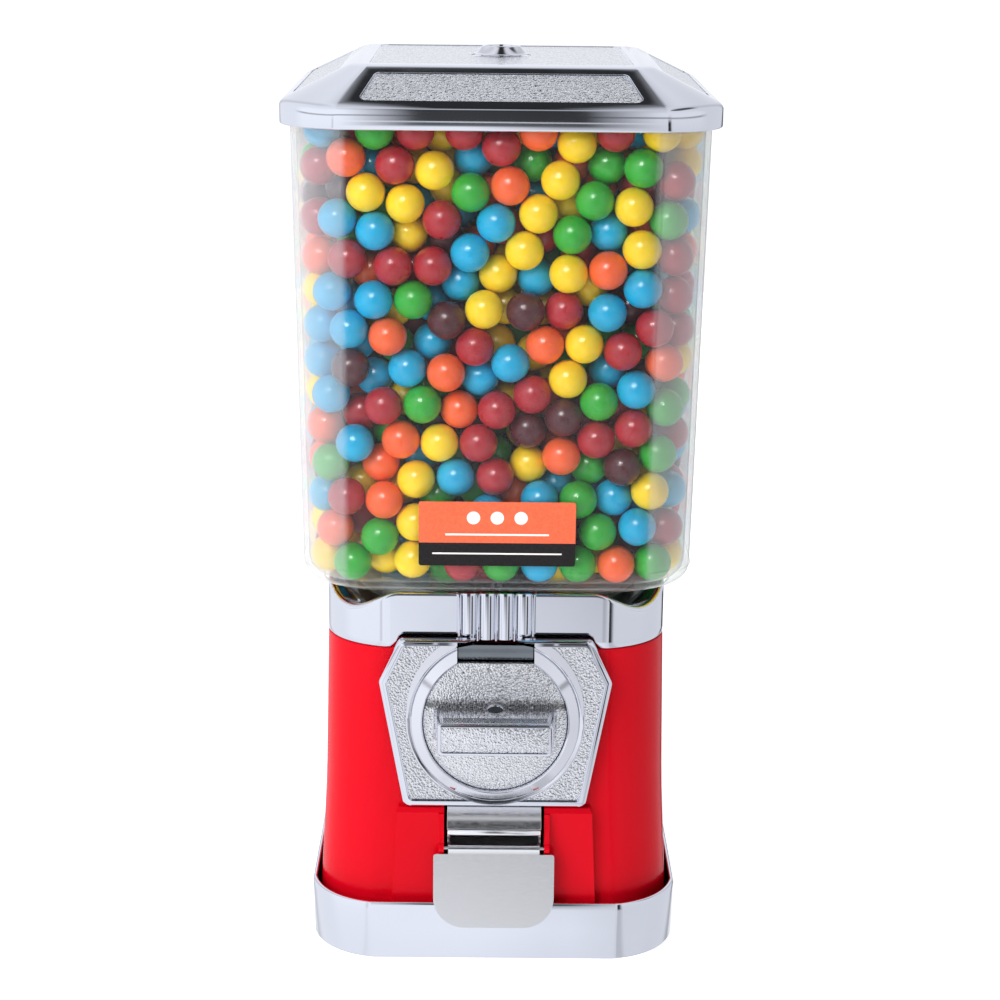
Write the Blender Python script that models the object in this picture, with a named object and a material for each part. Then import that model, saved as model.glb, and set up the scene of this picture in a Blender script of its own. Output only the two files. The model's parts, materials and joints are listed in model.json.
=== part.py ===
"""Countertop gumball machine, built as separate pieces around one vertical centre rod.

All sizes in this file are millimetres. Every mesh is scaled to metres when its object is made.
The origin is on the rod's axis at the tray's flat underside, +Z is up and the coin handle faces -Y.
"""

import math

import bmesh
import bpy
from mathutils import Matrix, Vector

MM = 0.001
GAP = 0.3  # running and assembly gap between neighbouring pieces

# Overall heights, from the floor up
TRAY_TOP = 27.2
BODY_TOP = 154.4
COLLAR_TOP = 181.6
COLLAR_SCOOP = 8.6
HOPPER_FLOOR = 184.3
HOPPER_TOP = 408.5
LID_SKIRT = 399.5
LID_SHOULDER = 410.4
LID_TOP = 425.7
OVERALL_HEIGHT = 430.0

# Half sizes of the rounded squares, and how far each corner reaches along a side
LID_HALF, LID_CORNER = 100.0, 27.3
HOPPER_TOP_HALF, HOPPER_LOW_HALF, HOPPER_CORNER = 95.5, 91.6, 24.0
COLLAR_HALF, COLLAR_CORNER = 81.0, 28.4
TRAY_HALF_X, TRAY_HALF_Y, TRAY_CORNER = 89.0, 94.0, 30.0
CREASE = math.radians(10)  # angle at which each corner arc leaves the flat side

# The body's half width at each height: it flares towards the foot
BODY_FLARE = ((4.6, 85.5), (14, 85.4), (28, 85.0), (50, 84.0), (75, 82.7), (100, 82.0), (BODY_TOP, 81.0))
BODY_WALL = 2.5

# Centre rod and lock
ROD_R = 4.0
ROD_TOP = 414.0
CATCH_Z = 409.5
HOOK_REACH, HOOK_LEG = 8.0, 13.2

# Coin mechanism: its axis runs front to back at this height
MECH_Z = 119.7
PLATE_BACK = -84.3
PLATE_FIELD = -86.5
PLATE_RIM = -88.0
RING_FRONT = -90.0
RING_IN, RING_OUT, GROOVE_OUT = 34.6, 39.6, 41.5
DISC_R = 34.3
DISC_FRONT, DISC_BACK = -88.0, -85.3
DISC_FLAT = 29.5  # height of the coin flat above the axis
BAR_FRONT = -110.0
SHAFT_R = 5.0
BORE_R = SHAFT_R + 0.35
CUP_OUT, CUP_IN = 32.2, 30.2
CUP_BACK = -70.0
PLATE_OUTLINE = ((45.5, 160.6), (-45.5, 160.6), (-55.4, 139.3), (-43.7, 76.2), (43.7, 76.2), (55.4, 139.3))

# Dispensing wheel and its crown gear, driven by the pinion on the coin shaft
WHEEL_R = 63.5
WHEEL_LOW, WHEEL_TOP = 158.8, 174.5
POCKETS, POCKET_R, POCKET_AT = 6, 13.0, 38.0
PINION_TEETH, CROWN_TEETH = 8, 48
GEAR_MODULE = 2.5
PINION_PITCH_R = GEAR_MODULE * PINION_TEETH / 2
CROWN_IN = 56.5
CROWN_PITCH_R = GEAR_MODULE * CROWN_TEETH / 2
CROWN_PITCH_Z = MECH_Z + PINION_PITCH_R
CROWN_TIP, CROWN_ROOT = CROWN_PITCH_Z - 2.1, CROWN_PITCH_Z + 2.9
PINION_OUT, PINION_ROOT = 12.0, 7.0
PAWL_PIVOT = (24.0, 112.0)

# Chute and flap at the front of the body
MOUTH_HALF = 24.0
CHUTE_HALF = 22.5
BOSS_FRONT = -88.0
HINGE_Y, HINGE_Z = -91.8, 57.0
FLAP_HALF, FLAP_LOW, FLAP_SHOULDER, FLAP_ROUND = 29.0, 17.3, 54.5, 15.0
FLAP_THICK, FLAP_LEAN = 1.2, math.radians(4)


# ---------------------------------------------------------------- materials

FINISHES = {
    "chrome": ((0.80, 0.81, 0.83), 0.08, 1.0),
    "textured_chrome": ((0.72, 0.73, 0.75), 0.32, 1.0),
    "red_plastic": ((0.78, 0.01, 0.03), 0.15, 0.0),
    "clear_plastic": ((0.92, 0.95, 0.97), 0.03, 0.0),
    "stainless": ((0.70, 0.69, 0.67), 0.22, 1.0),
    "zinc": ((0.60, 0.61, 0.62), 0.40, 1.0),
    "steel": ((0.52, 0.52, 0.53), 0.35, 1.0),
    "white_nylon": ((0.85, 0.85, 0.82), 0.45, 0.0),
    "black_plastic": ((0.03, 0.03, 0.035), 0.40, 0.0),
    "brass": ((0.75, 0.58, 0.28), 0.25, 1.0),
    "label": ((0.90, 0.28, 0.14), 0.40, 0.0),
}


def material(name):
    """The Principled material of that finish, made the first time it is asked for."""
    if name in bpy.data.materials:
        return bpy.data.materials[name]
    colour, roughness, metallic = FINISHES[name]
    made = bpy.data.materials.new(name)
    made.use_nodes = True
    shader = made.node_tree.nodes["Principled BSDF"]
    shader.inputs["Base Color"].default_value = (*colour, 1.0)
    shader.inputs["Roughness"].default_value = roughness
    shader.inputs["Metallic"].default_value = metallic
    made.diffuse_color = (*colour, 1.0)
    return made


# ---------------------------------------------------------------- outlines

def rounded_square(half_x, half_y, corner, steps):
    """Points of a square whose corners are arcs, anticlockwise from the right side's upper end."""
    radius = corner / (math.cos(CREASE) - math.sin(CREASE))
    centre_x = half_x - radius * math.cos(CREASE)
    centre_y = half_y - radius * math.cos(CREASE)
    points = []
    for quarter in range(4):
        turn = quarter * math.pi / 2
        sign_x = (1, -1, -1, 1)[quarter]
        sign_y = (1, 1, -1, -1)[quarter]
        for i in range(steps + 1):
            angle = turn + CREASE + (math.pi / 2 - 2 * CREASE) * i / steps
            points.append((
                sign_x * centre_x + radius * math.cos(angle),
                sign_y * centre_y + radius * math.sin(angle),
            ))
    return points


def circle(radius, count, centre=(0.0, 0.0), start=0.0):
    return [
        (
            centre[0] + radius * math.cos(start + math.tau * i / count),
            centre[1] + radius * math.sin(start + math.tau * i / count),
        )
        for i in range(count)
    ]


def circle_facing(points, radius):
    """A circle with one point in the direction of each given point."""
    return [(radius * x / math.hypot(x, y), radius * y / math.hypot(x, y)) for x, y in points]


def rounded_polygon(corners, radius, steps=4):
    """The polygon with each corner replaced by an arc of that radius."""
    points = []
    count = len(corners)
    for i in range(count):
        here = Vector(corners[i])
        before = (Vector(corners[i - 1]) - here).normalized()
        after = (Vector(corners[(i + 1) % count]) - here).normalized()
        half_angle = before.angle(after) / 2
        reach = radius / math.tan(half_angle)
        middle = here + (before + after).normalized() * (radius / math.sin(half_angle))
        start = here + before * reach - middle
        end = here + after * reach - middle
        turn = start.angle_signed(end)
        for step in range(steps + 1):
            angle = -turn * step / steps
            spun = Matrix.Rotation(angle, 2) @ start
            points.append(tuple(middle + spun))
    return points


def rectangle(low_a, high_a, low_b, high_b):
    return [(low_a, low_b), (high_a, low_b), (high_a, high_b), (low_a, high_b)]


def level(points, z):
    return [(x, y, z) for x, y in points]


# ---------------------------------------------------------------- meshes

def loft(rings, closed=False):
    """A mesh through rings of equally many points: capped at both ends, or closed on itself."""
    bm = bmesh.new()
    made = [[bm.verts.new(p) for p in ring] for ring in rings]
    count = len(rings[0])
    pairs = list(zip(made, made[1:]))
    if closed:
        pairs.append((made[-1], made[0]))
    else:
        bm.faces.new(made[0])
        bm.faces.new(made[-1])
    for low, high in pairs:
        for i in range(count):
            j = (i + 1) % count
            bm.faces.new((low[i], low[j], high[j], high[i]))
    bmesh.ops.recalc_face_normals(bm, faces=bm.faces)
    return bm


def turned(profile, steps, axis="Z", at=(0.0, 0.0, 0.0)):
    """A profile of (radius, height) points spun about an axis, closed unless it ends on the axis."""
    bm = bmesh.new()
    verts = [bm.verts.new((r, 0.0, z)) for r, z in profile]
    edges = [bm.edges.new(pair) for pair in zip(verts, verts[1:])]
    if profile[0][0] > 0 or profile[-1][0] > 0:
        edges.append(bm.edges.new((verts[-1], verts[0])))
    bmesh.ops.spin(
        bm, geom=verts + edges, cent=(0, 0, 0), axis=(0, 0, 1), angle=math.tau, steps=steps, use_merge=True
    )
    bmesh.ops.remove_doubles(bm, verts=bm.verts, dist=0.001)
    turn_to(bm, axis, at)
    return bm


def turn_to(bm, axis, at=(0.0, 0.0, 0.0)):
    """Lays a mesh made along +Z along another axis, then moves it."""
    turns = {"X": Matrix.Rotation(math.pi / 2, 3, "Y"), "Y": Matrix.Rotation(-math.pi / 2, 3, "X")}
    if axis in turns:
        bmesh.ops.rotate(bm, verts=bm.verts, cent=(0, 0, 0), matrix=turns[axis])
    bmesh.ops.translate(bm, verts=bm.verts, vec=at)
    bmesh.ops.recalc_face_normals(bm, faces=bm.faces)


def prism(points, low, high, axis="Z"):
    """A flat outline extruded from low to high along an axis. Along X it holds (y, z), along Y (x, z)."""
    place = {
        "X": lambda a, b, c: (c, a, b),
        "Y": lambda a, b, c: (a, c, b),
        "Z": lambda a, b, c: (a, b, c),
    }[axis]
    return loft([[place(a, b, c) for a, b in points] for c in (low, high)])


def block(low, high):
    return prism(rectangle(low[0], high[0], low[1], high[1]), low[2], high[2])


def rod(radius, low, high, steps, axis="Z", at=(0.0, 0.0, 0.0)):
    bm = prism(circle(radius, steps), low, high)
    turn_to(bm, axis, at)
    return bm


def tube(inner, outer, low, high, steps, axis="Z", at=(0.0, 0.0, 0.0)):
    return turned([(inner, low), (outer, low), (outer, high), (inner, high)], steps, axis, at)


def piece(name, bm, finish, parent=None):
    """Makes a mesh into a named object in metres, smooth over its round faces."""
    bmesh.ops.scale(bm, vec=(MM, MM, MM), verts=bm.verts)
    if parent is not None:
        bmesh.ops.translate(bm, verts=bm.verts, vec=-parent.location)
    mesh = bpy.data.meshes.new(name)
    bm.to_mesh(mesh)
    bm.free()
    mesh.materials.append(material(finish))
    mesh.shade_smooth()
    mesh.set_sharp_from_angle(angle=math.radians(30))
    made = bpy.data.objects.new(name, mesh)
    bpy.context.scene.collection.objects.link(made)
    made.parent = parent
    return made


def joint_empty(name, at):
    """An empty on a joint's axis, which the moving pieces are parented to."""
    made = bpy.data.objects.new(name, None)
    made.location = Vector(at) * MM
    bpy.context.scene.collection.objects.link(made)
    return made


def combine(target, operation, *shapes):
    """Cuts or joins helper shapes with a Boolean modifier each. The helpers are hidden from the render."""
    for bm in shapes:
        helper = piece(f"{target.name}_helper", bm, "zinc")
        helper.parent = target.parent
        if target.parent is not None:
            helper.matrix_parent_inverse = Matrix.Translation(-target.parent.location)
        helper.hide_render = True
        helper.display_type = "WIRE"
        modifier = target.modifiers.new(operation.lower(), "BOOLEAN")
        modifier.operation = operation
        modifier.object = helper
        modifier.solver = "EXACT"
    return target


def cut(target, *shapes):
    return combine(target, "DIFFERENCE", *shapes)


def join(target, *shapes):
    return combine(target, "UNION", *shapes)


# ---------------------------------------------------------------- base and body

def base_tray():
    """The plated tray: an upstanding rim, a floor and a central boss that anchors the rod."""
    wall, floor = 2.0, 4.3
    steps = 7
    low = rounded_square(TRAY_HALF_X - 0.8, TRAY_HALF_Y - 0.8, TRAY_CORNER, steps)
    high = rounded_square(TRAY_HALF_X, TRAY_HALF_Y, TRAY_CORNER, steps)
    inner_high = rounded_square(TRAY_HALF_X - wall, TRAY_HALF_Y - wall, TRAY_CORNER - 1, steps)
    inner_low = rounded_square(TRAY_HALF_X - wall - 0.8, TRAY_HALF_Y - wall - 0.8, TRAY_CORNER - 1, steps)
    rings = [level(low, 0), level(high, TRAY_TOP), level(inner_high, TRAY_TOP), level(inner_low, floor)]
    tray = piece("base_tray", loft(rings), "chrome")
    join(tray, rod(12, floor - 1.5, 14, 16))
    cut(tray, rod(ROD_R + GAP, 6, 20, 16))
    return tray


def centre_rod():
    piece("centre_rod", rod(ROD_R, 6.3, ROD_TOP, 12), "steel")
    piece("rod_base_washer", tube(ROD_R + GAP, 10, 14.3, 15.9, 14), "steel")
    nut = prism(circle(7.5, 6), 16.2, 22.7)
    cut(piece("rod_base_nut", nut, "steel"), rod(ROD_R + GAP, 10, 30, 12))


def body_shell():
    """The flared red body, with the chute surround and the mechanism's seat moulded on its front."""
    steps = 7
    outer = [level(rounded_square(h, h, COLLAR_CORNER, steps), z) for z, h in BODY_FLARE]
    inner = [
        level(rounded_square(h - BODY_WALL, h - BODY_WALL, COLLAR_CORNER - 1.5, steps), z)
        for z, h in reversed(BODY_FLARE[::2])
    ]
    body = piece("body_shell", loft(outer + inner, closed=True), "red_plastic")
    surround = [
        [(-50.5, -80.5, 5.0), (50.5, -80.5, 5.0), (50.5, BOSS_FRONT, 5.0), (-50.5, BOSS_FRONT, 5.0)],
        [(-47.0, -80.5, 74.0), (47.0, -80.5, 74.0), (46.9, BOSS_FRONT, 74.0), (-46.9, BOSS_FRONT, 74.0)],
        [
            (-46.4, -80.5, 75.7), (46.4, -80.5, 75.7),
            (45.9, BOSS_FRONT + 1.4, 75.7), (-45.9, BOSS_FRONT + 1.4, 75.7),
        ],
    ]
    join(body, loft(surround))
    seat = [(x * 0.9, MECH_Z + (z - MECH_Z) * 0.9) for x, z in PLATE_OUTLINE]
    seat = [(x, min(z, BODY_TOP - 0.6)) for x, z in seat]
    join(body, prism(rounded_polygon(seat, 4, 2), -84.0, -79.6, "Y"))
    turns = [-math.pi * i / 8 for i in range(9)]
    ear = [(HINGE_Y + 2.2 * math.sin(a), HINGE_Z - 2.2 * math.cos(a)) for a in turns]
    ear += [(BOSS_FRONT - 1.6, 73.4), (-84.0, 73.4), (-84.0, HINGE_Z - 2.2)]
    join(body, *(prism(ear, x, x + 2.6, "X") for x in (-MOUTH_HALF - 2.6, MOUTH_HALF)))
    cut(body, block((-MOUTH_HALF, -95, 30), (MOUTH_HALF, -70, 81)))
    cut(body, rod(1.25, -MOUTH_HALF - 2.2, MOUTH_HALF + 2.2, 12, "X", (0, HINGE_Y, HINGE_Z)))
    cut(body, rod(CUP_OUT + 0.8, -90, -70, 32, "Y", (0, 0, MECH_Z)))
    cut(body, *(rod(2.4, -90, -70, 8, "Y", (x, 0, z)) for x, z in mech_screw_places()))
    return body


def coin_box():
    """An open box that lies round the chute and the rod on the tray's floor and catches the coins."""
    outline = [(-68, -58), (-28, -58), (-28, 16), (28, 16), (28, -58), (68, -58), (68, 70), (-68, 70)]
    hollow = [(-66, -56), (-30, -56), (-30, 18), (30, 18), (30, -56), (66, -56), (66, 68), (-66, 68)]
    box = piece("coin_box", prism(outline, 4.6, 48), "black_plastic")
    cut(box, prism(hollow, 6.8, 60))


def scoop(x, y):
    """How far down the collar's edge is at a point of its outline: 0 on the flats, 1 at the corners."""
    across = max(0.0, min(1.0, (min(abs(x), abs(y)) - 46.5) / 24.8))
    return 0.5 - 0.5 * math.cos(math.pi * across)


def split_sides(points, parts):
    """Adds points along the long straight sides of an outline, so that an edge there can bend."""
    found = []
    for i, (x, y) in enumerate(points):
        found.append((x, y))
        nx, ny = points[(i + 1) % len(points)]
        if math.hypot(nx - x, ny - y) > 60:
            found.extend((x + (nx - x) * t, y + (ny - y) * t) for t in parts)
    return found


def collar():
    """The plated ring under the hopper: scooped corners, and a dish that slopes to a round opening."""
    parts = (0.06, 0.2, 0.35, 0.5, 0.65, 0.8, 0.94)
    inset = {
        d: split_sides(rounded_square(COLLAR_HALF - d, COLLAR_HALF - d, COLLAR_CORNER - d / 3, 10), parts)
        for d in (0.0, 0.6, 2.2, 2.5, 4.6)
    }
    dips = [scoop(x, y) for x, y in inset[0.0]]
    bottom = BODY_TOP + GAP

    def lip(depth, below, dipped):
        """One edge of the rounded lip: its inset, its depth under the top, and what corners add to that."""
        return [
            (x, y, COLLAR_TOP - below - dip * (COLLAR_SCOOP + dipped))
            for (x, y), dip in zip(inset[depth], dips)
        ]

    rings = [
        level(inset[0.0], bottom),
        lip(0.0, 1.0, 2.6), lip(0.6, 0.3, 1.2), lip(2.2, 0.0, 0.0), lip(4.6, 0.9, 0.8),
        level(circle_facing(inset[0.0], 76), 165.5),
        level(circle_facing(inset[0.0], 76), 163.5),
        level(inset[2.5], 161.5),
        level(inset[2.5], bottom),
    ]
    ring = piece("collar", loft(rings, closed=True), "chrome")
    join(ring, block((-18.2, -82.4, 159.5), (18.2, -78.8, COLLAR_TOP + 0.6)))
    for i in range(5):
        middle = -17.4 + 8.7 * i
        rib = [(middle - 1.3, -82), (middle - 0.6, -84), (middle + 0.6, -84), (middle + 1.3, -82)]
        join(ring, prism(rib, 159, COLLAR_TOP + 1.0))
    return ring


# ---------------------------------------------------------------- dispensing wheel

def wheel_housing():
    """The cast pan under the hopper: a channel for the crown gear, and a raised floor with the drop hole."""
    profile = [
        (ROD_R + GAP, 154.9), (52.6, 154.9), (52.6, 123.8), (69, 123.8), (69, 158.4), (76.8, 158.4),
        (76.8, 161.1), (70, 161.1), (70, 167.8), (66, 167.8), (66, 125.8), (54.6, 125.8), (54.6, 158.3),
        (ROD_R + GAP, 158.3),
    ]
    pan = piece("wheel_housing", turned(profile, 40), "zinc")
    for quarter in range(4):
        ear = prism([(71, -7), (92, -6), (92, 6), (71, 7)], 158.4, 161.1)
        turn = Matrix.Rotation(diagonal(quarter), 3, "Z")
        bmesh.ops.rotate(ear, verts=ear.verts, cent=(0, 0, 0), matrix=turn)
        join(pan, ear)
    cut(pan, rod(13.5, 150, 165, 24, at=(0, -POCKET_AT, 0)))
    cut(pan, block((-13.5, -72, 115), (13.5, -51, 134)))
    cut(pan, *(rod(2.2, 150, 170, 8, at=(x, y, 0)) for x, y in housing_screw_places()))
    return pan


def diagonal(quarter):
    return math.pi / 4 + quarter * math.pi / 2


def housing_screw_places():
    return [(86 * math.cos(diagonal(i)), 86 * math.sin(diagonal(i))) for i in range(4)]


def housing_screws():
    for i, (x, y) in enumerate(housing_screw_places()):
        profile = [(0, 155.9), (3.6, 155.9), (3.6, 158.1), (1.9, 158.1), (1.9, 161.2), (0, 161.2)]
        piece(f"housing_screw_{i + 1}", turned(profile, 10, at=(x, y, 0)), "steel")


def dispensing_wheel(parent):
    """The pocketed wheel, the crown gear under its edge and the agitator on its hub."""
    wheel = piece("candy_wheel", tube(6.2, WHEEL_R, WHEEL_LOW, WHEEL_TOP, 44), "white_nylon", parent)
    for i in range(POCKETS):
        angle = -math.pi / 2 + i * math.tau / POCKETS
        place = (POCKET_AT * math.cos(angle), POCKET_AT * math.sin(angle), 0)
        cut(wheel, rod(POCKET_R, 150, 180, 20, at=place))
    piece("crown_gear", crown_mesh(), "black_plastic", parent)
    cone = turned([(6.2, 174.8), (11, 174.8), (8.6, 186), (6.2, 186)], 16)
    agitator = piece("agitator", cone, "white_nylon", parent)
    for i in range(3):
        fin = block((8.0, -1.1, 174.8), (17.0, 1.1, 183))
        turn = Matrix.Rotation(math.tau * i / 3 + 0.5, 3, "Z")
        bmesh.ops.rotate(fin, verts=fin.verts, cent=(0, 0, 0), matrix=turn)
        join(agitator, fin)
    piece("rod_bushing", tube(ROD_R + GAP, 5.8, 158.7, 188, 14), "brass")


def crown_mesh():
    """A ring whose lower face is cut into teeth. The teeth stand either side of the pinion's upper tooth."""
    tip, root = 0.9 / CROWN_PITCH_R, 1.8 / CROWN_PITCH_R
    sections = []
    for tooth in range(CROWN_TEETH):
        middle = -math.pi / 2 + math.tau * (tooth + 0.5) / CROWN_TEETH
        for offset, low in ((-root, CROWN_ROOT), (-tip, CROWN_TIP), (tip, CROWN_TIP), (root, CROWN_ROOT)):
            out = Vector((math.cos(middle + offset), math.sin(middle + offset), 0))
            sections.append([
                out * CROWN_IN + Vector((0, 0, WHEEL_LOW - GAP)),
                out * (WHEEL_R - 0.5) + Vector((0, 0, WHEEL_LOW - GAP)),
                out * (WHEEL_R - 0.5) + Vector((0, 0, low)),
                out * CROWN_IN + Vector((0, 0, low)),
            ])
    return loft(sections, closed=True)


def brush():
    """The cover over the pocket that is emptying, with the bristle strip that wipes the wheel."""
    profile = [
        (15.0, 176.2), (17.2, 176.2), (17.2, 184), (12, 189),
        (0, 190.5), (0, 188.4), (11, 187), (15.0, 182.8),
    ]
    cover = turned(profile, 20, at=(0, -POCKET_AT, 0))
    cover = piece("brush_cover", cover, "clear_plastic")
    join(cover, block((-6, -65.2, 176.2), (6, -54.2, 178.6)))
    cut(cover, rod(1.9, 170, 185, 8, at=(0, -61.5, 0)))
    profile = [(0, 174.8), (1.6, 174.8), (1.6, 179), (3.2, 179), (3.2, 181), (0, 181)]
    piece("brush_screw", turned(profile, 10, at=(0, -61.5, 0)), "steel")
    strip = block((-12.5, -39.5, 174.8), (12.5, -36.5, 183.5))
    bristles = piece("brush_strip", strip, "black_plastic")
    cut(bristles, *(block((x - 0.6, -45, 170), (x + 0.6, -30, 179)) for x in range(-10, 11, 4)))


# ---------------------------------------------------------------- coin mechanism

def mech_screw_places():
    return [(-45, 137), (45, 137), (-36, 84), (36, 84)]


def faceplate():
    """The cast front plate: raised rim, sunken field, the coin ring with its groove, and the coin entry."""
    outline = rounded_polygon(PLATE_OUTLINE, 4)
    plate = piece("mech_faceplate", prism(outline, PLATE_BACK, PLATE_RIM, "Y"), "textured_chrome")
    inset = [(x * 0.948, MECH_Z + (z - MECH_Z) * 0.94) for x, z in PLATE_OUTLINE]
    cut(plate, prism(rounded_polygon(inset, 3), PLATE_FIELD, -95, "Y"))
    ring = [
        (RING_IN, PLATE_BACK), (GROOVE_OUT + 1, PLATE_BACK),
        (GROOVE_OUT + 1, PLATE_FIELD), (GROOVE_OUT, PLATE_FIELD),
        (GROOVE_OUT - 0.6, PLATE_FIELD + 0.7), (RING_OUT, PLATE_FIELD + 0.7),
        (RING_OUT - 0.8, RING_FRONT + 0.8),
        (RING_OUT - 1.6, RING_FRONT), (RING_IN + 0.8, RING_FRONT + 1.2), (RING_IN, RING_FRONT + 2.2),
    ]
    cut(plate, rod(GROOVE_OUT + 0.5, -95, -80, 48, "Y", (0, 0, MECH_Z)))
    join(plate, turned(ring, 48, "Y", (0, 0, MECH_Z)))
    cut(plate, block((-18.2, -95, MECH_Z + DISC_FLAT - 0.3), (18.2, -86.0, 159.4)))
    cut(plate, block((-12.9, -87, MECH_Z + DISC_FLAT - 3), (12.9, -82, 157.2)))
    cut(plate, *(rod(2.2, PLATE_BACK - 1.4, -80, 8, "Y", (x, 0, z)) for x, z in mech_screw_places()))
    return plate


def mech_screws():
    for i, (x, z) in enumerate(mech_screw_places()):
        profile = [(0, -85.4), (1.9, -85.4), (1.9, -78.0), (4.2, -78.0), (4.2, -75.6), (0, -75.6)]
        piece(f"mech_screw_{i + 1}", turned(profile, 10, "Y", (x, 0, z)), "steel")


def mech_housing():
    """The cup behind the faceplate that carries the coin shaft, open below so that coins drop out."""
    profile = [
        (BORE_R, CUP_BACK), (CUP_OUT, CUP_BACK), (CUP_OUT, -84.0),
        (CUP_IN, -84.0), (CUP_IN, -72), (BORE_R, -72),
    ]
    cup = piece("mech_housing", turned(profile, 32, "Y", (0, 0, MECH_Z)), "zinc")
    cut(cup, block((-13, -90, 80), (13, -73, 98)))
    cut(cup, block((-12.9, -90, MECH_Z + 24), (12.9, -82, 160)))
    return cup


def coin_handle(parent):
    """The turning disc with its finger bar. Its upper edge is flat, to let a coin drop in behind it."""
    angle = math.acos(DISC_FLAT / DISC_R)
    steps = 48
    disc = [
        (DISC_R * math.sin(a), MECH_Z + DISC_R * math.cos(a))
        for a in (angle + (math.tau - 2 * angle) * i / steps for i in range(steps + 1))
    ]
    handle = piece("coin_handle", prism(disc, DISC_BACK, DISC_FRONT, "Y"), "textured_chrome", parent)
    bar = [
        [(sx * hx, y, MECH_Z - 1 + sz * hz) for sx, sz in ((-1, -1), (1, -1), (1, 1), (-1, 1))]
        for y, hx, hz in ((-87.0, 28.2, 8.0), (-108.9, 26.9, 7.4), (BAR_FRONT, 25.7, 6.2))
    ]
    join(handle, loft(bar))
    pip = [(-4.5, MECH_Z + 7), (4.5, MECH_Z + 7), (1.5, MECH_Z + 10), (-1.5, MECH_Z + 10)]
    join(handle, prism(pip, -87.5, -90.5, "Y"))
    return handle


def coin_train(parent):
    """Everything behind the handle that turns with it: carrier, ratchet wheel, shaft, pinion and nut."""
    piece("drive_shaft", rod(SHAFT_R, -85.0, -53.4, 16, "Y", (0, 0, MECH_Z)), "steel", parent)
    carrier = piece("coin_carrier", tube(BORE_R, 29.8, -84.8, -79.8, 40, "Y", (0, 0, MECH_Z)), "zinc", parent)
    turns = [-math.pi * i / 12 for i in range(13)]
    coin = [(12.6 * math.cos(a), MECH_Z + 17.9 + 12.6 * math.sin(a)) for a in turns]
    cut(carrier, prism(coin + [(-12.6, MECH_Z + 35), (12.6, MECH_Z + 35)], -90, -82.5, "Y"))
    teeth = 16
    saw = []
    for i in range(teeth):
        angle = math.tau * i / teeth
        saw += [
            (19.0 * math.sin(angle), MECH_Z + 19.0 * math.cos(angle)),
            (16.6 * math.sin(angle + 0.02), MECH_Z + 16.6 * math.cos(angle + 0.02)),
        ]
    ratchet = piece("ratchet_wheel", prism(saw, -79.4, -76.8, "Y"), "steel", parent)
    cut(ratchet, rod(BORE_R, -85, -70, 16, "Y", (0, 0, MECH_Z)))
    pinion = piece("drive_pinion", prism(pinion_outline(), -66, -56.5, "Y"), "zinc", parent)
    cut(pinion, rod(BORE_R, -70, -50, 16, "Y", (0, 0, MECH_Z)))
    nut = prism(circle(8.2, 6, (0, MECH_Z)), -56.2, -53.6, "Y")
    cut(piece("pinion_nut", nut, "steel", parent), rod(BORE_R, -60, -50, 16, "Y", (0, 0, MECH_Z)))


def pinion_outline():
    """Eight straight teeth, one of them upright, narrow enough to run freely in the crown gear."""
    points = []
    for tooth in range(PINION_TEETH):
        middle = math.tau * tooth / PINION_TEETH
        for radius, half in ((PINION_ROOT, 1.9), (PINION_OUT, 0.9), (PINION_OUT, -0.9), (PINION_ROOT, -1.9)):
            side = Vector((-half, radius))
            spun = Matrix.Rotation(-middle, 2) @ side
            points.append((spun.x, MECH_Z + spun.y))
    return points


def pawl(parent):
    """The anti-return pawl beside the ratchet wheel, on its pin, with its coil spring."""
    x, z = PAWL_PIVOT
    outline = [
        (x + 2.8, z - 1), (x + 1.6, z + 2.6), (20.6, 124.2),
        (19.6, 122.6), (x - 3.0, z + 0.5), (x - 1.2, z - 2.6),
    ]
    lever = piece("ratchet_pawl", prism(outline, -79.2, -77.0, "Y"), "steel", parent)
    cut(lever, rod(1.4, -85, -70, 10, "Y", (x, 0, z)))
    piece("pawl_pin", rod(1.1, -79.5, -72.3, 10, "Y", (x, 0, z)), "steel")
    turns, points_per_turn, height = 3, 10, 3.0
    curve = bpy.data.curves.new("pawl_spring", "CURVE")
    curve.dimensions = "3D"
    curve.bevel_depth = 0.3 * MM
    curve.bevel_resolution = 1
    curve.use_fill_caps = True
    spline = curve.splines.new("POLY")
    count = turns * points_per_turn + 1
    spline.points.add(count - 1)
    for i in range(count):
        angle = math.tau * i / points_per_turn
        y = -76.3 + height * i / (count - 1)
        place = Vector((x + 2.3 * math.cos(angle), y, z + 2.3 * math.sin(angle))) * MM
        spline.points[i].co = (*place, 1.0)
    curve.materials.append(material("steel"))
    spring = bpy.data.objects.new("pawl_spring", curve)
    bpy.context.scene.collection.objects.link(spring)



# ---------------------------------------------------------------- chute and flap

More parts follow.
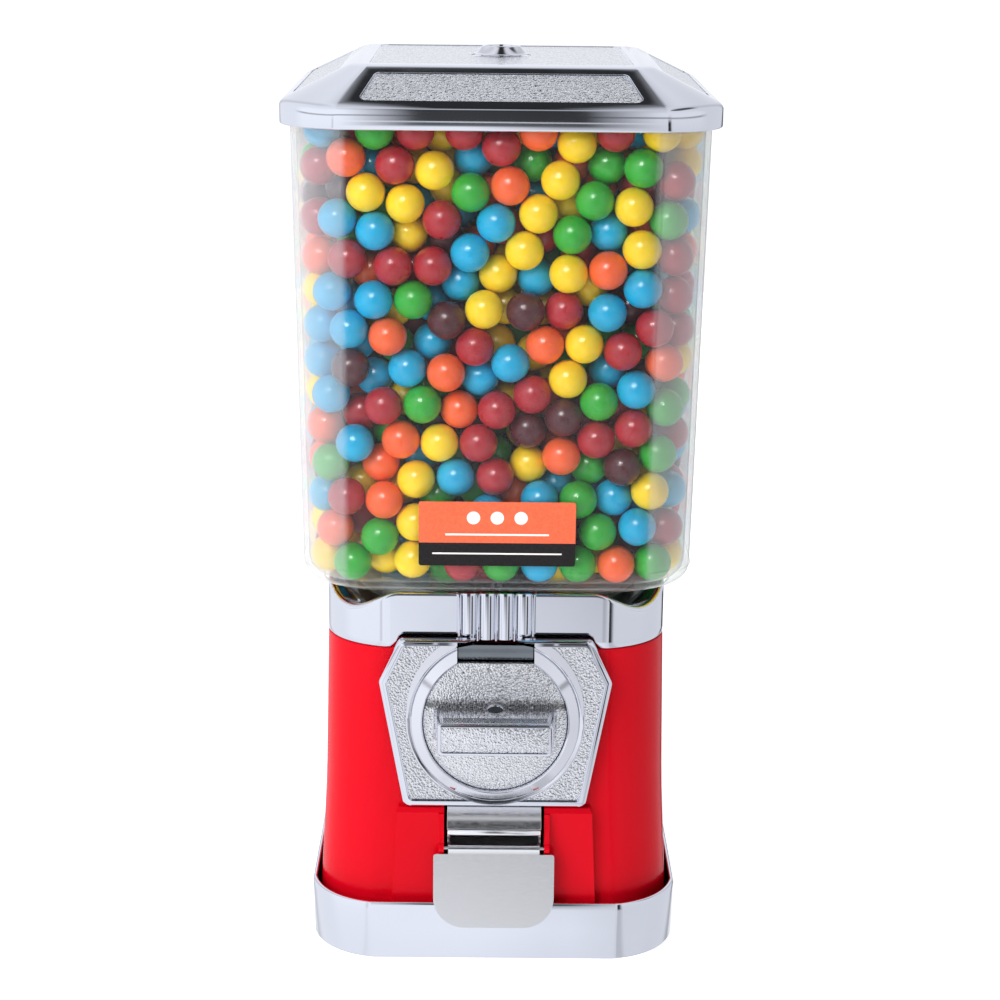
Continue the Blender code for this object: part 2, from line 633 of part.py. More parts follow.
def chute():
    """A round drop tube under the wheel, the sheet trough that leads forward, and the hood over its mouth."""
    piece("drop_tube", tube(12.8, 14.0, 104.0, 154.6, 24, at=(0, -POCKET_AT, 0)), "white_nylon")
    outside = [(-20, 103.7), (-56, 103.7), (-60, 80), (-85.5, 75.4), (-85.8, 34), (-20, 73)]
    inside = [
        (-21.2, 110), (-54.8, 110), (-54.8, 103), (-59.2, 81),
        (-61, 78.8), (-95, 72.6), (-95, 30.1), (-21.2, 73.6),
    ]
    trough = piece("chute_trough", prism(outside, -CHUTE_HALF, CHUTE_HALF, "X"), "stainless")
    cut(trough, prism(inside, -CHUTE_HALF + 1.2, CHUTE_HALF - 1.2, "X"))
    turns = [math.tau * i / 12 for i in range(12)]
    bead = [(-92.3 + 1.4 * math.cos(a), 65.3 + 1.4 * math.sin(a)) for a in turns]
    sheet = [
        (-86.2, 75.8), (-86.2, 74.6), (-90.6, 70.4), (-91.9, 65.3),
        (-93.1, 65.3), (-91.8, 71.0), (-87.6, 75.8),
    ]
    hood = piece("chute_hood", prism(sheet, -CHUTE_HALF, CHUTE_HALF, "X"), "stainless")
    join(hood, prism(bead, -CHUTE_HALF + 0.4, CHUTE_HALF - 0.4, "X"))


def flap(parent):
    """The stainless flap that hangs over the mouth, curled round its pin at the top."""
    arc = [math.pi / 2 * i / 6 for i in range(7)]
    inner = FLAP_HALF - FLAP_ROUND
    middle = FLAP_LOW + FLAP_ROUND
    left = [(-inner - FLAP_ROUND * math.cos(a), middle - FLAP_ROUND * math.sin(a)) for a in arc]
    right = [(-x, z) for x, z in reversed(left)]
    neck = CHUTE_HALF - 0.6
    outline = left + right + [
        (FLAP_HALF, FLAP_SHOULDER), (neck, FLAP_SHOULDER), (neck, HINGE_Z), (-neck, HINGE_Z),
        (-neck, FLAP_SHOULDER), (-FLAP_HALF, FLAP_SHOULDER),
    ]
    sheet = prism(outline, HINGE_Y - 1.9, HINGE_Y - 1.9 + FLAP_THICK, "Y")
    lean = Matrix.Rotation(-FLAP_LEAN, 3, "X")
    bmesh.ops.rotate(sheet, verts=sheet.verts, cent=(0, HINGE_Y, HINGE_Z), matrix=lean)
    made = piece("chute_flap", sheet, "stainless", parent)
    join(made, rod(1.95, -neck, neck, 16, "X", (0, HINGE_Y, HINGE_Z)))
    cut(made, rod(1.25, -40, 40, 12, "X", (0, HINGE_Y, HINGE_Z)))
    piece("flap_pin", rod(0.95, -MOUTH_HALF - 1.9, MOUTH_HALF + 1.9, 10, "X", (0, HINGE_Y, HINGE_Z)), "steel")


# ---------------------------------------------------------------- hopper, lid and lock

def hopper_half(z):
    """Half width of the hopper's drafted wall at a height above its floor's rounding."""
    share = (z - 200.0) / (HOPPER_TOP - 200.0)
    return HOPPER_LOW_HALF + (HOPPER_TOP_HALF - HOPPER_LOW_HALF) * share


def hopper():
    """The clear hopper: drafted square walls, a rounded floor, and a funnel to the neck over the wheel."""
    steps = 6
    parts = (0.14, 0.29, 0.43, 0.57, 0.71, 0.86)

    def square(half, z, corner=HOPPER_CORNER):
        return level(split_sides(rounded_square(half, half, corner, steps), parts), z)

    facing = split_sides(rounded_square(HOPPER_LOW_HALF, HOPPER_LOW_HALF, HOPPER_CORNER, steps), parts)

    def round_ring(radius, z):
        return level(circle_facing(facing, radius), z)

    rings = [
        square(HOPPER_TOP_HALF, HOPPER_TOP), square(HOPPER_LOW_HALF, 197),
        square(90.9, 191), square(88.9, 187.3), square(85.4, 185), square(80.5, HOPPER_FLOOR, 22),
        round_ring(77.5, HOPPER_FLOOR), round_ring(69, 171.5),
        round_ring(68.4, 168.1), round_ring(64.6, 168.1), round_ring(65.2, 172.6), round_ring(74.6, 186.9),
        square(79, 187, 20), square(83.8, 187.6), square(86.6, 189.2), square(88.4, 192), square(89.1, 197),
        square(HOPPER_TOP_HALF - 2.5, HOPPER_TOP),
    ]
    piece("hopper", loft(rings, closed=True), "clear_plastic")
    low, high = 198.4, 229.3
    faces = []
    for back in (GAP, 0.62):
        faces.append([
            (x, -(hopper_half(z) + back), z) for x, z in rectangle(-36.3, 36.3, low, high)
        ])
    piece("front_label", loft(faces), "label")


def lid(parent):
    """The plated lid: a skirt round the hopper's rim, four slopes with sunken panels, and a flat top."""
    steps = 7

    def square(half, z, corner=LID_CORNER):
        return level(rounded_square(half, half, corner, steps), z)

    rings = [
        square(67.3, LID_TOP, 8), square(69.3, 425.0, 9), square(99.0, LID_SHOULDER, 26.8),
        square(LID_HALF, 409.0), square(LID_HALF, 400.2),
        square(99.4, LID_SKIRT, 27), square(97.8, LID_SKIRT, 26),
        square(97.8, 408.7, 26), square(68.4, 423.2, 8),
    ]
    top = piece("lid", loft(rings), "chrome", parent)
    cut(top, rod(9.6, 410, 440, 20))
    slope_from, slope_to = Vector((99.0, LID_SHOULDER)), Vector((69.3, 425.0))
    low, high = slope_from.lerp(slope_to, 0.12), slope_from.lerp(slope_to, 0.86)
    normal = Vector((slope_from.y - slope_to.y, slope_to.x - slope_from.x)).normalized() * -1
    for quarter in range(4):
        rings = []
        for out in (-0.8, 3.0):
            near, far = low + normal * out, high + normal * out
            rings.append([
                (-63.4, -near.x, near.y), (63.4, -near.x, near.y),
                (56.4, -far.x, far.y), (-56.4, -far.x, far.y)
            ])
        panel = loft(rings)
        spin = Matrix.Rotation(quarter * math.pi / 2, 3, "Z")
        bmesh.ops.rotate(panel, verts=panel.verts, cent=(0, 0, 0), matrix=spin)
        cut(top, panel)
    return top


def lock(lid_parent, lock_parent):
    """The lock in the lid: bezel and nut clamp the roof, and the plug's hook grips the catch."""
    bezel = [
        (7.6, 418.6), (9.2, 418.6), (9.2, 426.0), (14.6, 426.0), (14.6, 426.6), (13.8, 427.0), (11.0, 429.5),
        (10.4, OVERALL_HEIGHT), (7.6, OVERALL_HEIGHT),
    ]
    piece("lock_bezel", turned(bezel, 28), "chrome", lid_parent)
    nut = prism(circle(14, 6), 419.4, 422.9)
    cut(piece("lock_ring_nut", nut, "brass", lid_parent), rod(9.6, 410, 430, 20))
    plug = piece("lock_plug", rod(7.2, 418.4, 429.3, 20), "steel", lock_parent)
    cut(plug, tube(2.4, 4.2, 426.0, 435, 16))
    cut(plug, block((-0.7, 3.6, 426.0), (0.7, 5.4, 435)))
    hook = piece("lock_hook", block((-4, -15.6, 416.2), (4, 15.6, 418.1)), "steel", lock_parent)
    for side in (-1, 1):
        leg = [(side * HOOK_LEG, 417.5), (side * HOOK_LEG, 407.8), (side * HOOK_REACH, 407.8)]
        leg += [(side * HOOK_REACH, 405.6), (side * 15.4, 405.6), (side * 15.4, 417.5)]
        join(hook, prism(leg, -3.8, 3.8, "X"))
    catch = piece("rod_catch", block((-11.5, -4.6, CATCH_Z), (11.5, 4.6, CATCH_Z + 2.4)), "steel")
    cut(catch, rod(ROD_R + GAP, 400, 420, 12))


# ---------------------------------------------------------------- the whole machine

def main():
    for obj in list(bpy.data.objects):
        bpy.data.objects.remove(obj)
    wheel_axis = joint_empty("wheel_axis", (0, 0, WHEEL_LOW))
    handle_axis = joint_empty("handle_axis", (0, DISC_FRONT, MECH_Z))
    pawl_axis = joint_empty("pawl_axis", (PAWL_PIVOT[0], -78.1, PAWL_PIVOT[1]))
    flap_axis = joint_empty("flap_axis", (0, HINGE_Y, HINGE_Z))
    lid_axis = joint_empty("lid_axis", (0, 0, LID_SKIRT))
    lock_axis = joint_empty("lock_axis", (0, 0, 418.4))
    base_tray()
    centre_rod()
    body_shell()
    coin_box()
    collar()
    wheel_housing()
    housing_screws()
    dispensing_wheel(wheel_axis)
    brush()
    faceplate()
    mech_screws()
    mech_housing()
    coin_handle(handle_axis)
    coin_train(handle_axis)
    pawl(pawl_axis)
    chute()
    flap(flap_axis)
    hopper()
    lid(lid_axis)
    lock(lid_axis, lock_axis)


main()
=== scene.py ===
"""The visual model of the countertop gumball machine, and the studio it stands in.

Lengths in the shape code are millimetres in the frame's coordinates, and meshes are scaled to metres when
made. Lamps and the camera are placed in metres.
"""

import json
import math

import bmesh
import bpy
import numpy as np
from mathutils import Matrix, Vector

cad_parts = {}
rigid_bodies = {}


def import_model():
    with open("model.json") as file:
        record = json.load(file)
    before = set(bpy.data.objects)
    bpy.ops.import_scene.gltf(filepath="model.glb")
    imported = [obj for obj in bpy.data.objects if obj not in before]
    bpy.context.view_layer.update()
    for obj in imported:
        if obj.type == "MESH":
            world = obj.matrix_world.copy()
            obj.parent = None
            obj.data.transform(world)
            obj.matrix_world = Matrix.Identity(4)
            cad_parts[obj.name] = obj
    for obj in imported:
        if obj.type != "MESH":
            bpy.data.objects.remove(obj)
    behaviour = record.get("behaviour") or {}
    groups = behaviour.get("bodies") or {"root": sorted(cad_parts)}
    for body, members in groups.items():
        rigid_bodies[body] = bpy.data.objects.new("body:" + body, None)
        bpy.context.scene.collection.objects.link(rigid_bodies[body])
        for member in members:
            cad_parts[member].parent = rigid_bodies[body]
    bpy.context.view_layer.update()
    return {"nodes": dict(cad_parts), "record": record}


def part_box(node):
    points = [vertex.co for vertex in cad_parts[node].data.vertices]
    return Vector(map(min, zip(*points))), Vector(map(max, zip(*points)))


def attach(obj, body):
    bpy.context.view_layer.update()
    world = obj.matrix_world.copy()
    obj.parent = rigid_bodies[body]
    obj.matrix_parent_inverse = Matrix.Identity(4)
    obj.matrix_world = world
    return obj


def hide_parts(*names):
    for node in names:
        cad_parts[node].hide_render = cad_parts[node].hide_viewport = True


MM = 0.001
CREASE = math.radians(10)  # how far an outline's round corner is out of line with its straight sides
WALL = 2.5
PIN_Y, PIN_Z = -91.8, 57.0  # the flap's hinge
MECH_Z = 119.7  # the coin handle's axis

for stray in list(bpy.data.objects):
    bpy.data.objects.remove(stray)
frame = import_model()


# -------- materials

class Tree:
    """A node tree under construction: a few calls that add nodes and link them."""

    def __init__(self, tree):
        self.tree = tree

    def add(self, kind, **settings):
        node = self.tree.nodes.new(kind)
        for key, value in settings.items():
            setattr(node, key, value)
        return node

    def link(self, source, target):
        self.tree.links.new(source, target)

    def apart(self, vector):
        """A vector's coordinates, as outputs named X, Y and Z."""
        node = self.add("ShaderNodeSeparateXYZ")
        self.link(vector, node.inputs[0])
        return node.outputs

    def math(self, operation, *values):
        node = self.add("ShaderNodeMath", operation=operation)
        for socket, value in zip(node.inputs, values):
            if isinstance(value, (int, float)):
                socket.default_value = value
            else:
                self.link(value, socket)
        return node.outputs["Value"]

    def ramp(self, value, *stops):
        node = self.add("ShaderNodeValToRGB")
        elements = node.color_ramp.elements
        while len(elements) < len(stops):
            elements.new(0.5)
        for element, (position, colour) in zip(elements, stops):
            element.position = position
            element.color = (*colour, 1.0)
        self.link(value, node.inputs["Fac"])
        return node.outputs["Color"]

    def greys(self, value, *stops):
        return self.ramp(value, *((position, (level, level, level)) for position, level in stops))


class Nodes(Tree):
    """A material's nodes, round its Principled BSDF."""

    def __init__(self, name):
        self.material = bpy.data.materials.new(name)
        self.material.use_nodes = True
        super().__init__(self.material.node_tree)
        self.shader = self.tree.nodes["Principled BSDF"]
        self.output = self.tree.nodes["Material Output"]
        self.place = self.add("ShaderNodeTexCoord").outputs["Object"]

    def stretched(self, scale):
        """The object's coordinates times a scale on each axis."""
        node = self.add("ShaderNodeMapping")
        node.inputs["Scale"].default_value = scale
        self.link(self.place, node.inputs["Vector"])
        return node.outputs["Vector"]

    def noise(self, scale, detail, rough=0.5, at=None):
        node = self.add("ShaderNodeTexNoise")
        node.inputs["Scale"].default_value = scale
        node.inputs["Detail"].default_value = detail
        node.inputs["Roughness"].default_value = rough
        self.link(at or self.place, node.inputs["Vector"])
        return node.outputs["Fac"]

    def ranged(self, value, low, high, start=0.3, end=0.7):
        """Maps a 0 to 1 value on to low to high, with its middle stretched."""
        node = self.add("ShaderNodeMapRange")
        node.inputs["From Min"].default_value = start
        node.inputs["From Max"].default_value = end
        node.inputs["To Min"].default_value = low
        node.inputs["To Max"].default_value = high
        self.link(value, node.inputs["Value"])
        return node.outputs["Result"]

    def mixed(self, factor, a, b):
        node = self.add("ShaderNodeMix", data_type="RGBA")
        self.link(factor, node.inputs["Factor"])
        for socket, value in ((node.inputs[6], a), (node.inputs[7], b)):
            if isinstance(value, tuple):
                socket.default_value = (*value, 1.0)
            else:
                self.link(value, socket)
        return node.outputs[2]

    def bump(self, height, distance, strength):
        node = self.add("ShaderNodeBump")
        node.inputs["Strength"].default_value = strength
        node.inputs["Distance"].default_value = distance
        self.link(height, node.inputs["Height"])
        return node.outputs["Normal"]

    def set(self, **values):
        for key, value in values.items():
            socket = self.shader.inputs[key.replace("_", " ")]
            if isinstance(value, (int, float)):
                socket.default_value = value
            elif isinstance(value, tuple):
                socket.default_value = (*value, 1.0)
            else:
                self.link(value, socket)


def plated(name, tint, smear=(0.03, 0.10)):
    """Bright plating: faint smears in its gloss and the slight waviness of a plated pressing."""
    n = Nodes(name)
    dust = n.noise(38, 4, 0.6)
    n.set(
        Base_Color=n.ramp(n.noise(9, 3), (0.3, tuple(c * 0.95 for c in tint)), (0.7, tint)),
        Metallic=1.0,
        Roughness=n.ranged(dust, *smear),
        Normal=n.bump(n.noise(26, 1), 0.00012, 0.25),
    )
    return n.material


def grained(name, tint, painted_shade=None):
    """Plated casting with the pebbled grain of its mould, and bands of painted shade along one axis if given.
    """
    n = Nodes(name)
    grain = 1050.0
    cells = n.add("ShaderNodeTexVoronoi", feature="SMOOTH_F1")
    cells.inputs["Scale"].default_value = grain
    cells.inputs["Smoothness"].default_value = 0.35
    n.link(n.place, cells.inputs["Vector"])
    pebbles = n.math("SUBTRACT", 1.0, cells.outputs["Distance"])
    coarse = n.noise(grain * 0.5, 1.0, 0.5)
    height = n.math("ADD", pebbles, n.math("MULTIPLY", coarse, 0.6))
    colour = n.ramp(pebbles, (0.42, tuple(c * 0.74 for c in tint)), (0.66, tint))
    if painted_shade:
        # Painted shade: bands along one axis mix the grain towards a near-black colour, standing in for shade
        # and dark reflections.
        axis, low, high, shades = painted_shade
        ragged = n.math("MULTIPLY", n.math("SUBTRACT", n.noise(700, 3), 0.5), 0.12)
        along = n.math("ADD", n.ranged(n.apart(n.place)[axis], 0.0, 1.0, low * MM, high * MM), ragged)
        colour = n.mixed(n.greys(along, *shades), (0.02, 0.017, 0.014), colour)
    n.set(
        Base_Color=colour,
        Metallic=1.0,
        Roughness=n.ranged(coarse, 0.16, 0.28),
        Normal=n.bump(height, 0.0005, 0.68),
    )
    return n.material


def glossy(name, colour, deep):
    """Moulded gloss plastic: slight colour drift, fine orange peel and a few dull patches."""
    n = Nodes(name)
    n.set(
        Base_Color=n.ramp(n.noise(6, 2), (0.3, deep), (0.7, colour)),
        Roughness=n.ranged(n.noise(55, 4, 0.65), 0.12, 0.22),
        IOR=1.2,
        Specular_IOR_Level=0.4,
        Coat_Weight=0.02,
        Coat_Roughness=0.05,
        Normal=n.bump(n.noise(340, 2), 0.00006, 0.22),
    )
    return n.material


def brushed(name, tint, along, rough=(0.2, 0.34)):
    """Satin sheet steel with fine lines along one direction."""
    n = Nodes(name)
    lines = n.noise(1.0, 3, 0.6, n.stretched(along))
    n.set(
        Base_Color=n.ramp(lines, (0.3, tuple(c * 0.95 for c in tint)), (0.7, tint)),
        Metallic=1.0,
        Roughness=n.ranged(lines, *rough),
        Normal=n.bump(lines, 0.00003, 0.15),
    )
    return n.material


def dull(name, colour, dark, metallic, rough):
    """A plain working surface: cast, moulded or turned, mottled at a fine scale."""
    n = Nodes(name)
    fine = n.noise(240.0, 4, 0.6)
    n.set(
        Base_Color=n.ramp(n.noise(40.0, 3), (0.3, dark), (0.7, colour)),
        Metallic=metallic,
        Roughness=n.ranged(fine, *rough),
        Normal=n.bump(fine, 0.0003, 0.4),
    )
    return n.material


def clear(name):
    """Clear plastic as thin sheet: light goes straight through, and it mirrors more as it turns away."""
    n = Nodes(name)
    rim = n.add("ShaderNodeLayerWeight")
    rim.inputs["Blend"].default_value = 0.42
    facing = n.math("POWER", rim.outputs["Facing"], 2.2)
    place = n.apart(n.place)
    x, y = (n.math("ABSOLUTE", place[axis]) for axis in "XY")
    # Painted reflection: the sheet mirrors more near the bin's rounded corners, a bright veil set by place;
    # the noise added to it is the plastic's own slight haze.
    corners = n.ranged(n.math("MINIMUM", x, y), 0.0, 0.13, 0.0685, 0.0715)
    haze_and_painted_reflection = n.math("ADD", n.ranged(n.noise(24, 4, 0.6), 0.014, 0.024), corners)
    share = n.math("ADD", n.math("MULTIPLY", facing, 0.7), haze_and_painted_reflection)
    n.set(
        Base_Color=n.ramp(n.noise(12, 2), (0.3, (0.80, 0.83, 0.86)), (0.7, (0.88, 0.90, 0.92))),
        Metallic=0.55,
        Roughness=n.ranged(n.noise(60, 3), 0.02, 0.07),
        Normal=n.bump(n.noise(14, 2), 0.0004, 0.12),
    )
    through = n.add("ShaderNodeBsdfTransparent")
    through.inputs["Color"].default_value = (0.985, 0.99, 0.99, 1.0)
    mix = n.add("ShaderNodeMixShader")
    n.link(share, mix.inputs[0])
    n.link(through.outputs[0], mix.inputs[1])
    n.link(n.shader.outputs[0], mix.inputs[2])
    n.link(mix.outputs[0], n.output.inputs["Surface"])
    return n.material


def candy(name, colour, deep):
    """The hard polished shell of a gumball: mottled colour, tiny pits and a waxy shine."""
    n = Nodes(name)
    n.set(
        Base_Color=n.ramp(n.noise(110, 3, 0.55), (0.3, deep), (0.66, colour)),
        Roughness=n.ranged(n.noise(420, 2), 0.26, 0.34),
        Specular_IOR_Level=0.3,
        Coat_Weight=0.5,
        Coat_Roughness=0.2,
        Normal=n.bump(n.noise(620, 2), 0.00006, 0.2),
    )
    return n.material


def printed(name, low, high):
    """The sticker: an orange field over a dark one, with a plain row of dots and thin rules."""
    n = Nodes(name)
    place = n.apart(n.place)
    x, z = place["X"], place["Z"]
    height = high - low

    def up(share):
        """A height on the sticker, from a share of its own height."""
        return low + height * share

    def within(value, start, end):
        return n.math("MULTIPLY", n.math("GREATER_THAN", value, start), n.math("LESS_THAN", value, end))

    def rule(bottom, top, half):
        return n.math("MULTIPLY", within(z, up(bottom), up(top)), within(x, -half, half))

    paper = n.noise(900, 3)
    orange = n.ramp(paper, (0.35, (0.76, 0.125, 0.055)), (0.65, (0.82, 0.155, 0.07)))
    black = n.ramp(paper, (0.35, (0.010, 0.009, 0.010)), (0.65, (0.018, 0.016, 0.017)))
    field = n.mixed(n.math("GREATER_THAN", z, up(0.36)), black, orange)
    half_pitch, dot, row_half = 0.0055, 0.0031, 0.0165
    column = n.math("PINGPONG", n.math("ADD", x, half_pitch * 5), half_pitch)
    column = n.math("SUBTRACT", column, half_pitch)
    row = n.math("SUBTRACT", z, up(0.75))
    away = n.math("SQRT", n.math("ADD", n.math("POWER", column, 2.0), n.math("POWER", row, 2.0)))
    dots = n.math("MULTIPLY", n.math("LESS_THAN", away, dot), within(x, -row_half, row_half))
    rules = n.math("MAXIMUM", rule(0.475, 0.505, 0.024), rule(0.18, 0.205, 0.03))
    ink = n.math("MAXIMUM", dots, rules)
    n.set(
        Base_Color=n.mixed(ink, field, (0.86, 0.83, 0.80)),
        Roughness=n.ranged(paper, 0.32, 0.46),
        Specular_IOR_Level=0.2,
        Normal=n.bump(paper, 0.00003, 0.3),
    )
    return n.material


CHROME = plated("bright_plating", (0.77, 0.79, 0.86))
RING = plated("polished_ring", (0.80, 0.81, 0.86), (0.05, 0.13))
GRAIN = grained("grained_plating", (0.94, 0.945, 0.98))
# The disc's grain carries painted shade and a painted dark reflection: a dark band across the disc just above
# the handle's bar.
DISC_GRAIN = grained("disc_grain", (0.97, 0.975, 1.0), painted_shade=(
    "Z", 100.0, 150.0, ((0.0, 1.0), (0.52, 0.9), (0.545, 0.2), (0.58, 0.3), (0.64, 1.0), (1.0, 1.0)),
))
# The bar's top carries a painted dark reflection: darker at its back by the disc, lighter towards its front.
BAR_GRAIN = grained("bar_grain", (0.80, 0.85, 0.95), painted_shade=(
    "Y", -108.0, -88.0, ((0.0, 0.75), (0.5, 0.45), (1.0, 0.18)),
))
# Dark plating for the coin slot's funnel: its darkness is painted shade of the slot's recess, not the
# plating's own colour.
SHADED = plated("slot_plating_painted_shade", (0.20, 0.22, 0.24), (0.12, 0.25))
RED = glossy("red_gloss", (0.64, 0.002, 0.012), (0.60, 0.0015, 0.010))
CLEAR = clear("clear_sheet")
SATIN = brushed("satin_sheet", (0.97, 0.97, 0.985), (300, 700, 900), (0.18, 0.26))
ZINC = dull("cast_zinc", (0.55, 0.56, 0.57), (0.42, 0.43, 0.44), 0.9, (0.35, 0.55))
STEEL = brushed("turned_steel", (0.62, 0.62, 0.63), (500, 500, 40))
NYLON = dull("white_nylon", (0.80, 0.80, 0.76), (0.72, 0.72, 0.67), 0.0, (0.38, 0.55))
BLACK = dull("black_moulding", (0.022, 0.022, 0.024), (0.012, 0.012, 0.013), 0.0, (0.35, 0.6))
BRASS = brushed("turned_brass", (0.78, 0.60, 0.28), (500, 500, 60), (0.18, 0.3))
SLOT_LOOKS = {
    "chrome": CHROME, "textured_chrome": GRAIN, "red_plastic": RED, "clear_plastic": CLEAR,
    "stainless": SATIN, "zinc": ZINC, "steel": STEEL, "white_nylon": NYLON, "black_plastic": BLACK,
    "brass": BRASS,
}


# -------- shapes

def rounded_square(half_x, half_y, corner, steps):
    """A rectangle whose corners are arcs that meet the sides at a slight crease."""
    radius = corner / (math.cos(CREASE) - math.sin(CREASE))
    points = []
    for quarter in range(4):
        sign_x, sign_y = (1, -1, -1, 1)[quarter], (1, 1, -1, -1)[quarter]
        for i in range(steps + 1):
            angle = quarter * math.pi / 2 + CREASE + (math.pi / 2 - 2 * CREASE) * i / steps
            points.append((
                sign_x * (half_x - radius * math.cos(CREASE)) + radius * math.cos(angle),
                sign_y * (half_y - radius * math.cos(CREASE)) + radius * math.sin(angle),
            ))
    return points


def with_sides(points, parts):
    """Adds evenly spaced points along the four long straight sides of an outline."""
    found = []
    for i, (x, y) in enumerate(points):
        found.append((x, y))
        nx, ny = points[(i + 1) % len(points)]
        if math.hypot(nx - x, ny - y) > 60:
            found.extend((x + (nx - x) * k / parts, y + (ny - y) * k / parts) for k in range(1, parts))
    return found


def facing_circle(points, radius):
    """A circle with a point in line with each point of an outline."""
    return [(radius * x / math.hypot(x, y), radius * y / math.hypot(x, y)) for x, y in points]


def circle(radius, count):
    angles = [math.tau * i / count for i in range(count)]
    return [(radius * math.cos(a), radius * math.sin(a)) for a in angles]


def rounded_polygon(corners, radius, steps=6):
    points = []
    radii = radius if isinstance(radius, (list, tuple)) else [radius] * len(corners)
    for i, size in enumerate(radii):
        here = Vector(corners[i])
        before = (Vector(corners[i - 1]) - here).normalized()
        after = (Vector(corners[(i + 1) % len(corners)]) - here).normalized()
        half_angle = before.angle(after) / 2
        reach = size / math.tan(half_angle)
        middle = here + (before + after).normalized() * (size / math.sin(half_angle))
        start, end = here + before * reach - middle, here + after * reach - middle
        turn = start.angle_signed(end)
        points += [tuple(middle + Matrix.Rotation(-turn * k / steps, 2) @ start) for k in range(steps + 1)]
    return points


def rectangle(low_a, high_a, low_b, high_b):
    return [(low_a, low_b), (high_a, low_b), (high_a, high_b), (low_a, high_b)]


def level(points, z):
    return [(x, y, z) for x, y in points]


def upright(points, y):
    return [(x, y, z) for x, z in points]


def loft(rings, closed=False):
    """A skin through rings of equal count: capped at both ends, or closed on itself."""
    bm = bmesh.new()
    made = [[bm.verts.new(p) for p in ring] for ring in rings]
    count = len(rings[0])
    pairs = list(zip(made, made[1:]))
    if closed:
        pairs.append((made[-1], made[0]))
    else:
        bm.faces.new(made[0])
        bm.faces.new(made[-1])
    for low, high in pairs:
        for i in range(count):
            j = (i + 1) % count
            bm.faces.new((low[i], low[j], high[j], high[i]))
    bmesh.ops.recalc_face_normals(bm, faces=bm.faces)
    return bm


def turned(profile, steps, axis="Z", at=(0.0, 0.0, 0.0)):
    """A profile of (radius, place along the axis), turned round the axis."""
    bm = bmesh.new()
    verts = [bm.verts.new((r, 0.0, z)) for r, z in profile]
    edges = [bm.edges.new(pair) for pair in zip(verts, verts[1:])]
    if profile[0][0] > 0 or profile[-1][0] > 0:
        edges.append(bm.edges.new((verts[-1], verts[0])))
    bmesh.ops.spin(
        bm, geom=verts + edges, cent=(0, 0, 0), axis=(0, 0, 1), angle=math.tau, steps=steps, use_merge=True,
    )
    bmesh.ops.remove_doubles(bm, verts=bm.verts, dist=0.001)
    turn = {"X": Matrix.Rotation(math.pi / 2, 3, "Y"), "Y": Matrix.Rotation(-math.pi / 2, 3, "X")}
    if axis in turn:
        bmesh.ops.rotate(bm, verts=bm.verts, cent=(0, 0, 0), matrix=turn[axis])
    bmesh.ops.translate(bm, verts=bm.verts, vec=at)
    bmesh.ops.recalc_face_normals(bm, faces=bm.faces)
    return bm


def cylinder(radius, low, high, *how):
    return turned([(0, low), (radius, low), (radius, high), (0, high)], *how)


def prism(points, low, high, axis="Z"):
    """A solid with one outline from low to high along an axis."""
    order = {"X": (2, 0, 1), "Y": (0, 2, 1), "Z": (0, 1, 2)}[axis]
    return loft([[tuple((a, b, c)[k] for k in order) for a, b in points] for c in (low, high)])


def block(low, high):
    return prism(rectangle(low[0], high[0], low[1], high[1]), low[2], high[2])


def spun(bm, angle):
    bmesh.ops.rotate(bm, verts=bm.verts, cent=(0, 0, 0), matrix=Matrix.Rotation(angle, 3, "Z"))
    return bm


def mesh_object(name, bm):
    bmesh.ops.scale(bm, vec=(MM, MM, MM), verts=bm.verts)
    mesh = bpy.data.meshes.new(name)
    bm.to_mesh(mesh)
    bm.free()
    made = bpy.data.objects.new(name, mesh)
    bpy.context.scene.collection.objects.link(made)
    return made


def piece(name, bm, look, body, replaces=(), bevel=0.0, joined=(), cuts=(), angle=32.0, segments=3):
    """A visible piece: shapes joined to it, then cut from it, its edges rounded, and riding on a body."""
    made = mesh_object(name, bm)
    for operation, shapes in (("UNION", joined), ("DIFFERENCE", cuts)):
        for shape in shapes:
            helper = mesh_object(f"{name}_helper", shape)
            modifier = made.modifiers.new(operation.lower(), "BOOLEAN")
            modifier.operation, modifier.object, modifier.solver = operation, helper, "EXACT"
            bpy.context.view_layer.update()
            shaped = made.evaluated_get(bpy.context.evaluated_depsgraph_get())
            result = bpy.data.meshes.new_from_object(shaped)
            made.modifiers.clear()
            made.data = result
            bpy.data.objects.remove(helper)
    made.data.name = name
    made.data.materials.clear()
    made.data.materials.append(look)
    made.data.shade_smooth()
    if bevel:
        clean = bmesh.new()
        clean.from_mesh(made.data)
        bmesh.ops.remove_doubles(clean, verts=clean.verts, dist=0.00001)
        bmesh.ops.dissolve_limit(clean, angle_limit=math.radians(0.4), verts=clean.verts, edges=clean.edges)
        clean.to_mesh(made.data)
        clean.free()
        modifier = made.modifiers.new("edges", "BEVEL")
        modifier.width, modifier.segments = bevel * MM, segments
        modifier.limit_method, modifier.angle_limit = "ANGLE", math.radians(angle)
        modifier.harden_normals = True
        modifier.miter_outer = "MITER_ARC"
    else:
        made.data.set_sharp_from_angle(angle=math.radians(angle))
    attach(made, body)
    if replaces:
        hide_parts(*replaces)


# -------- lid and lock

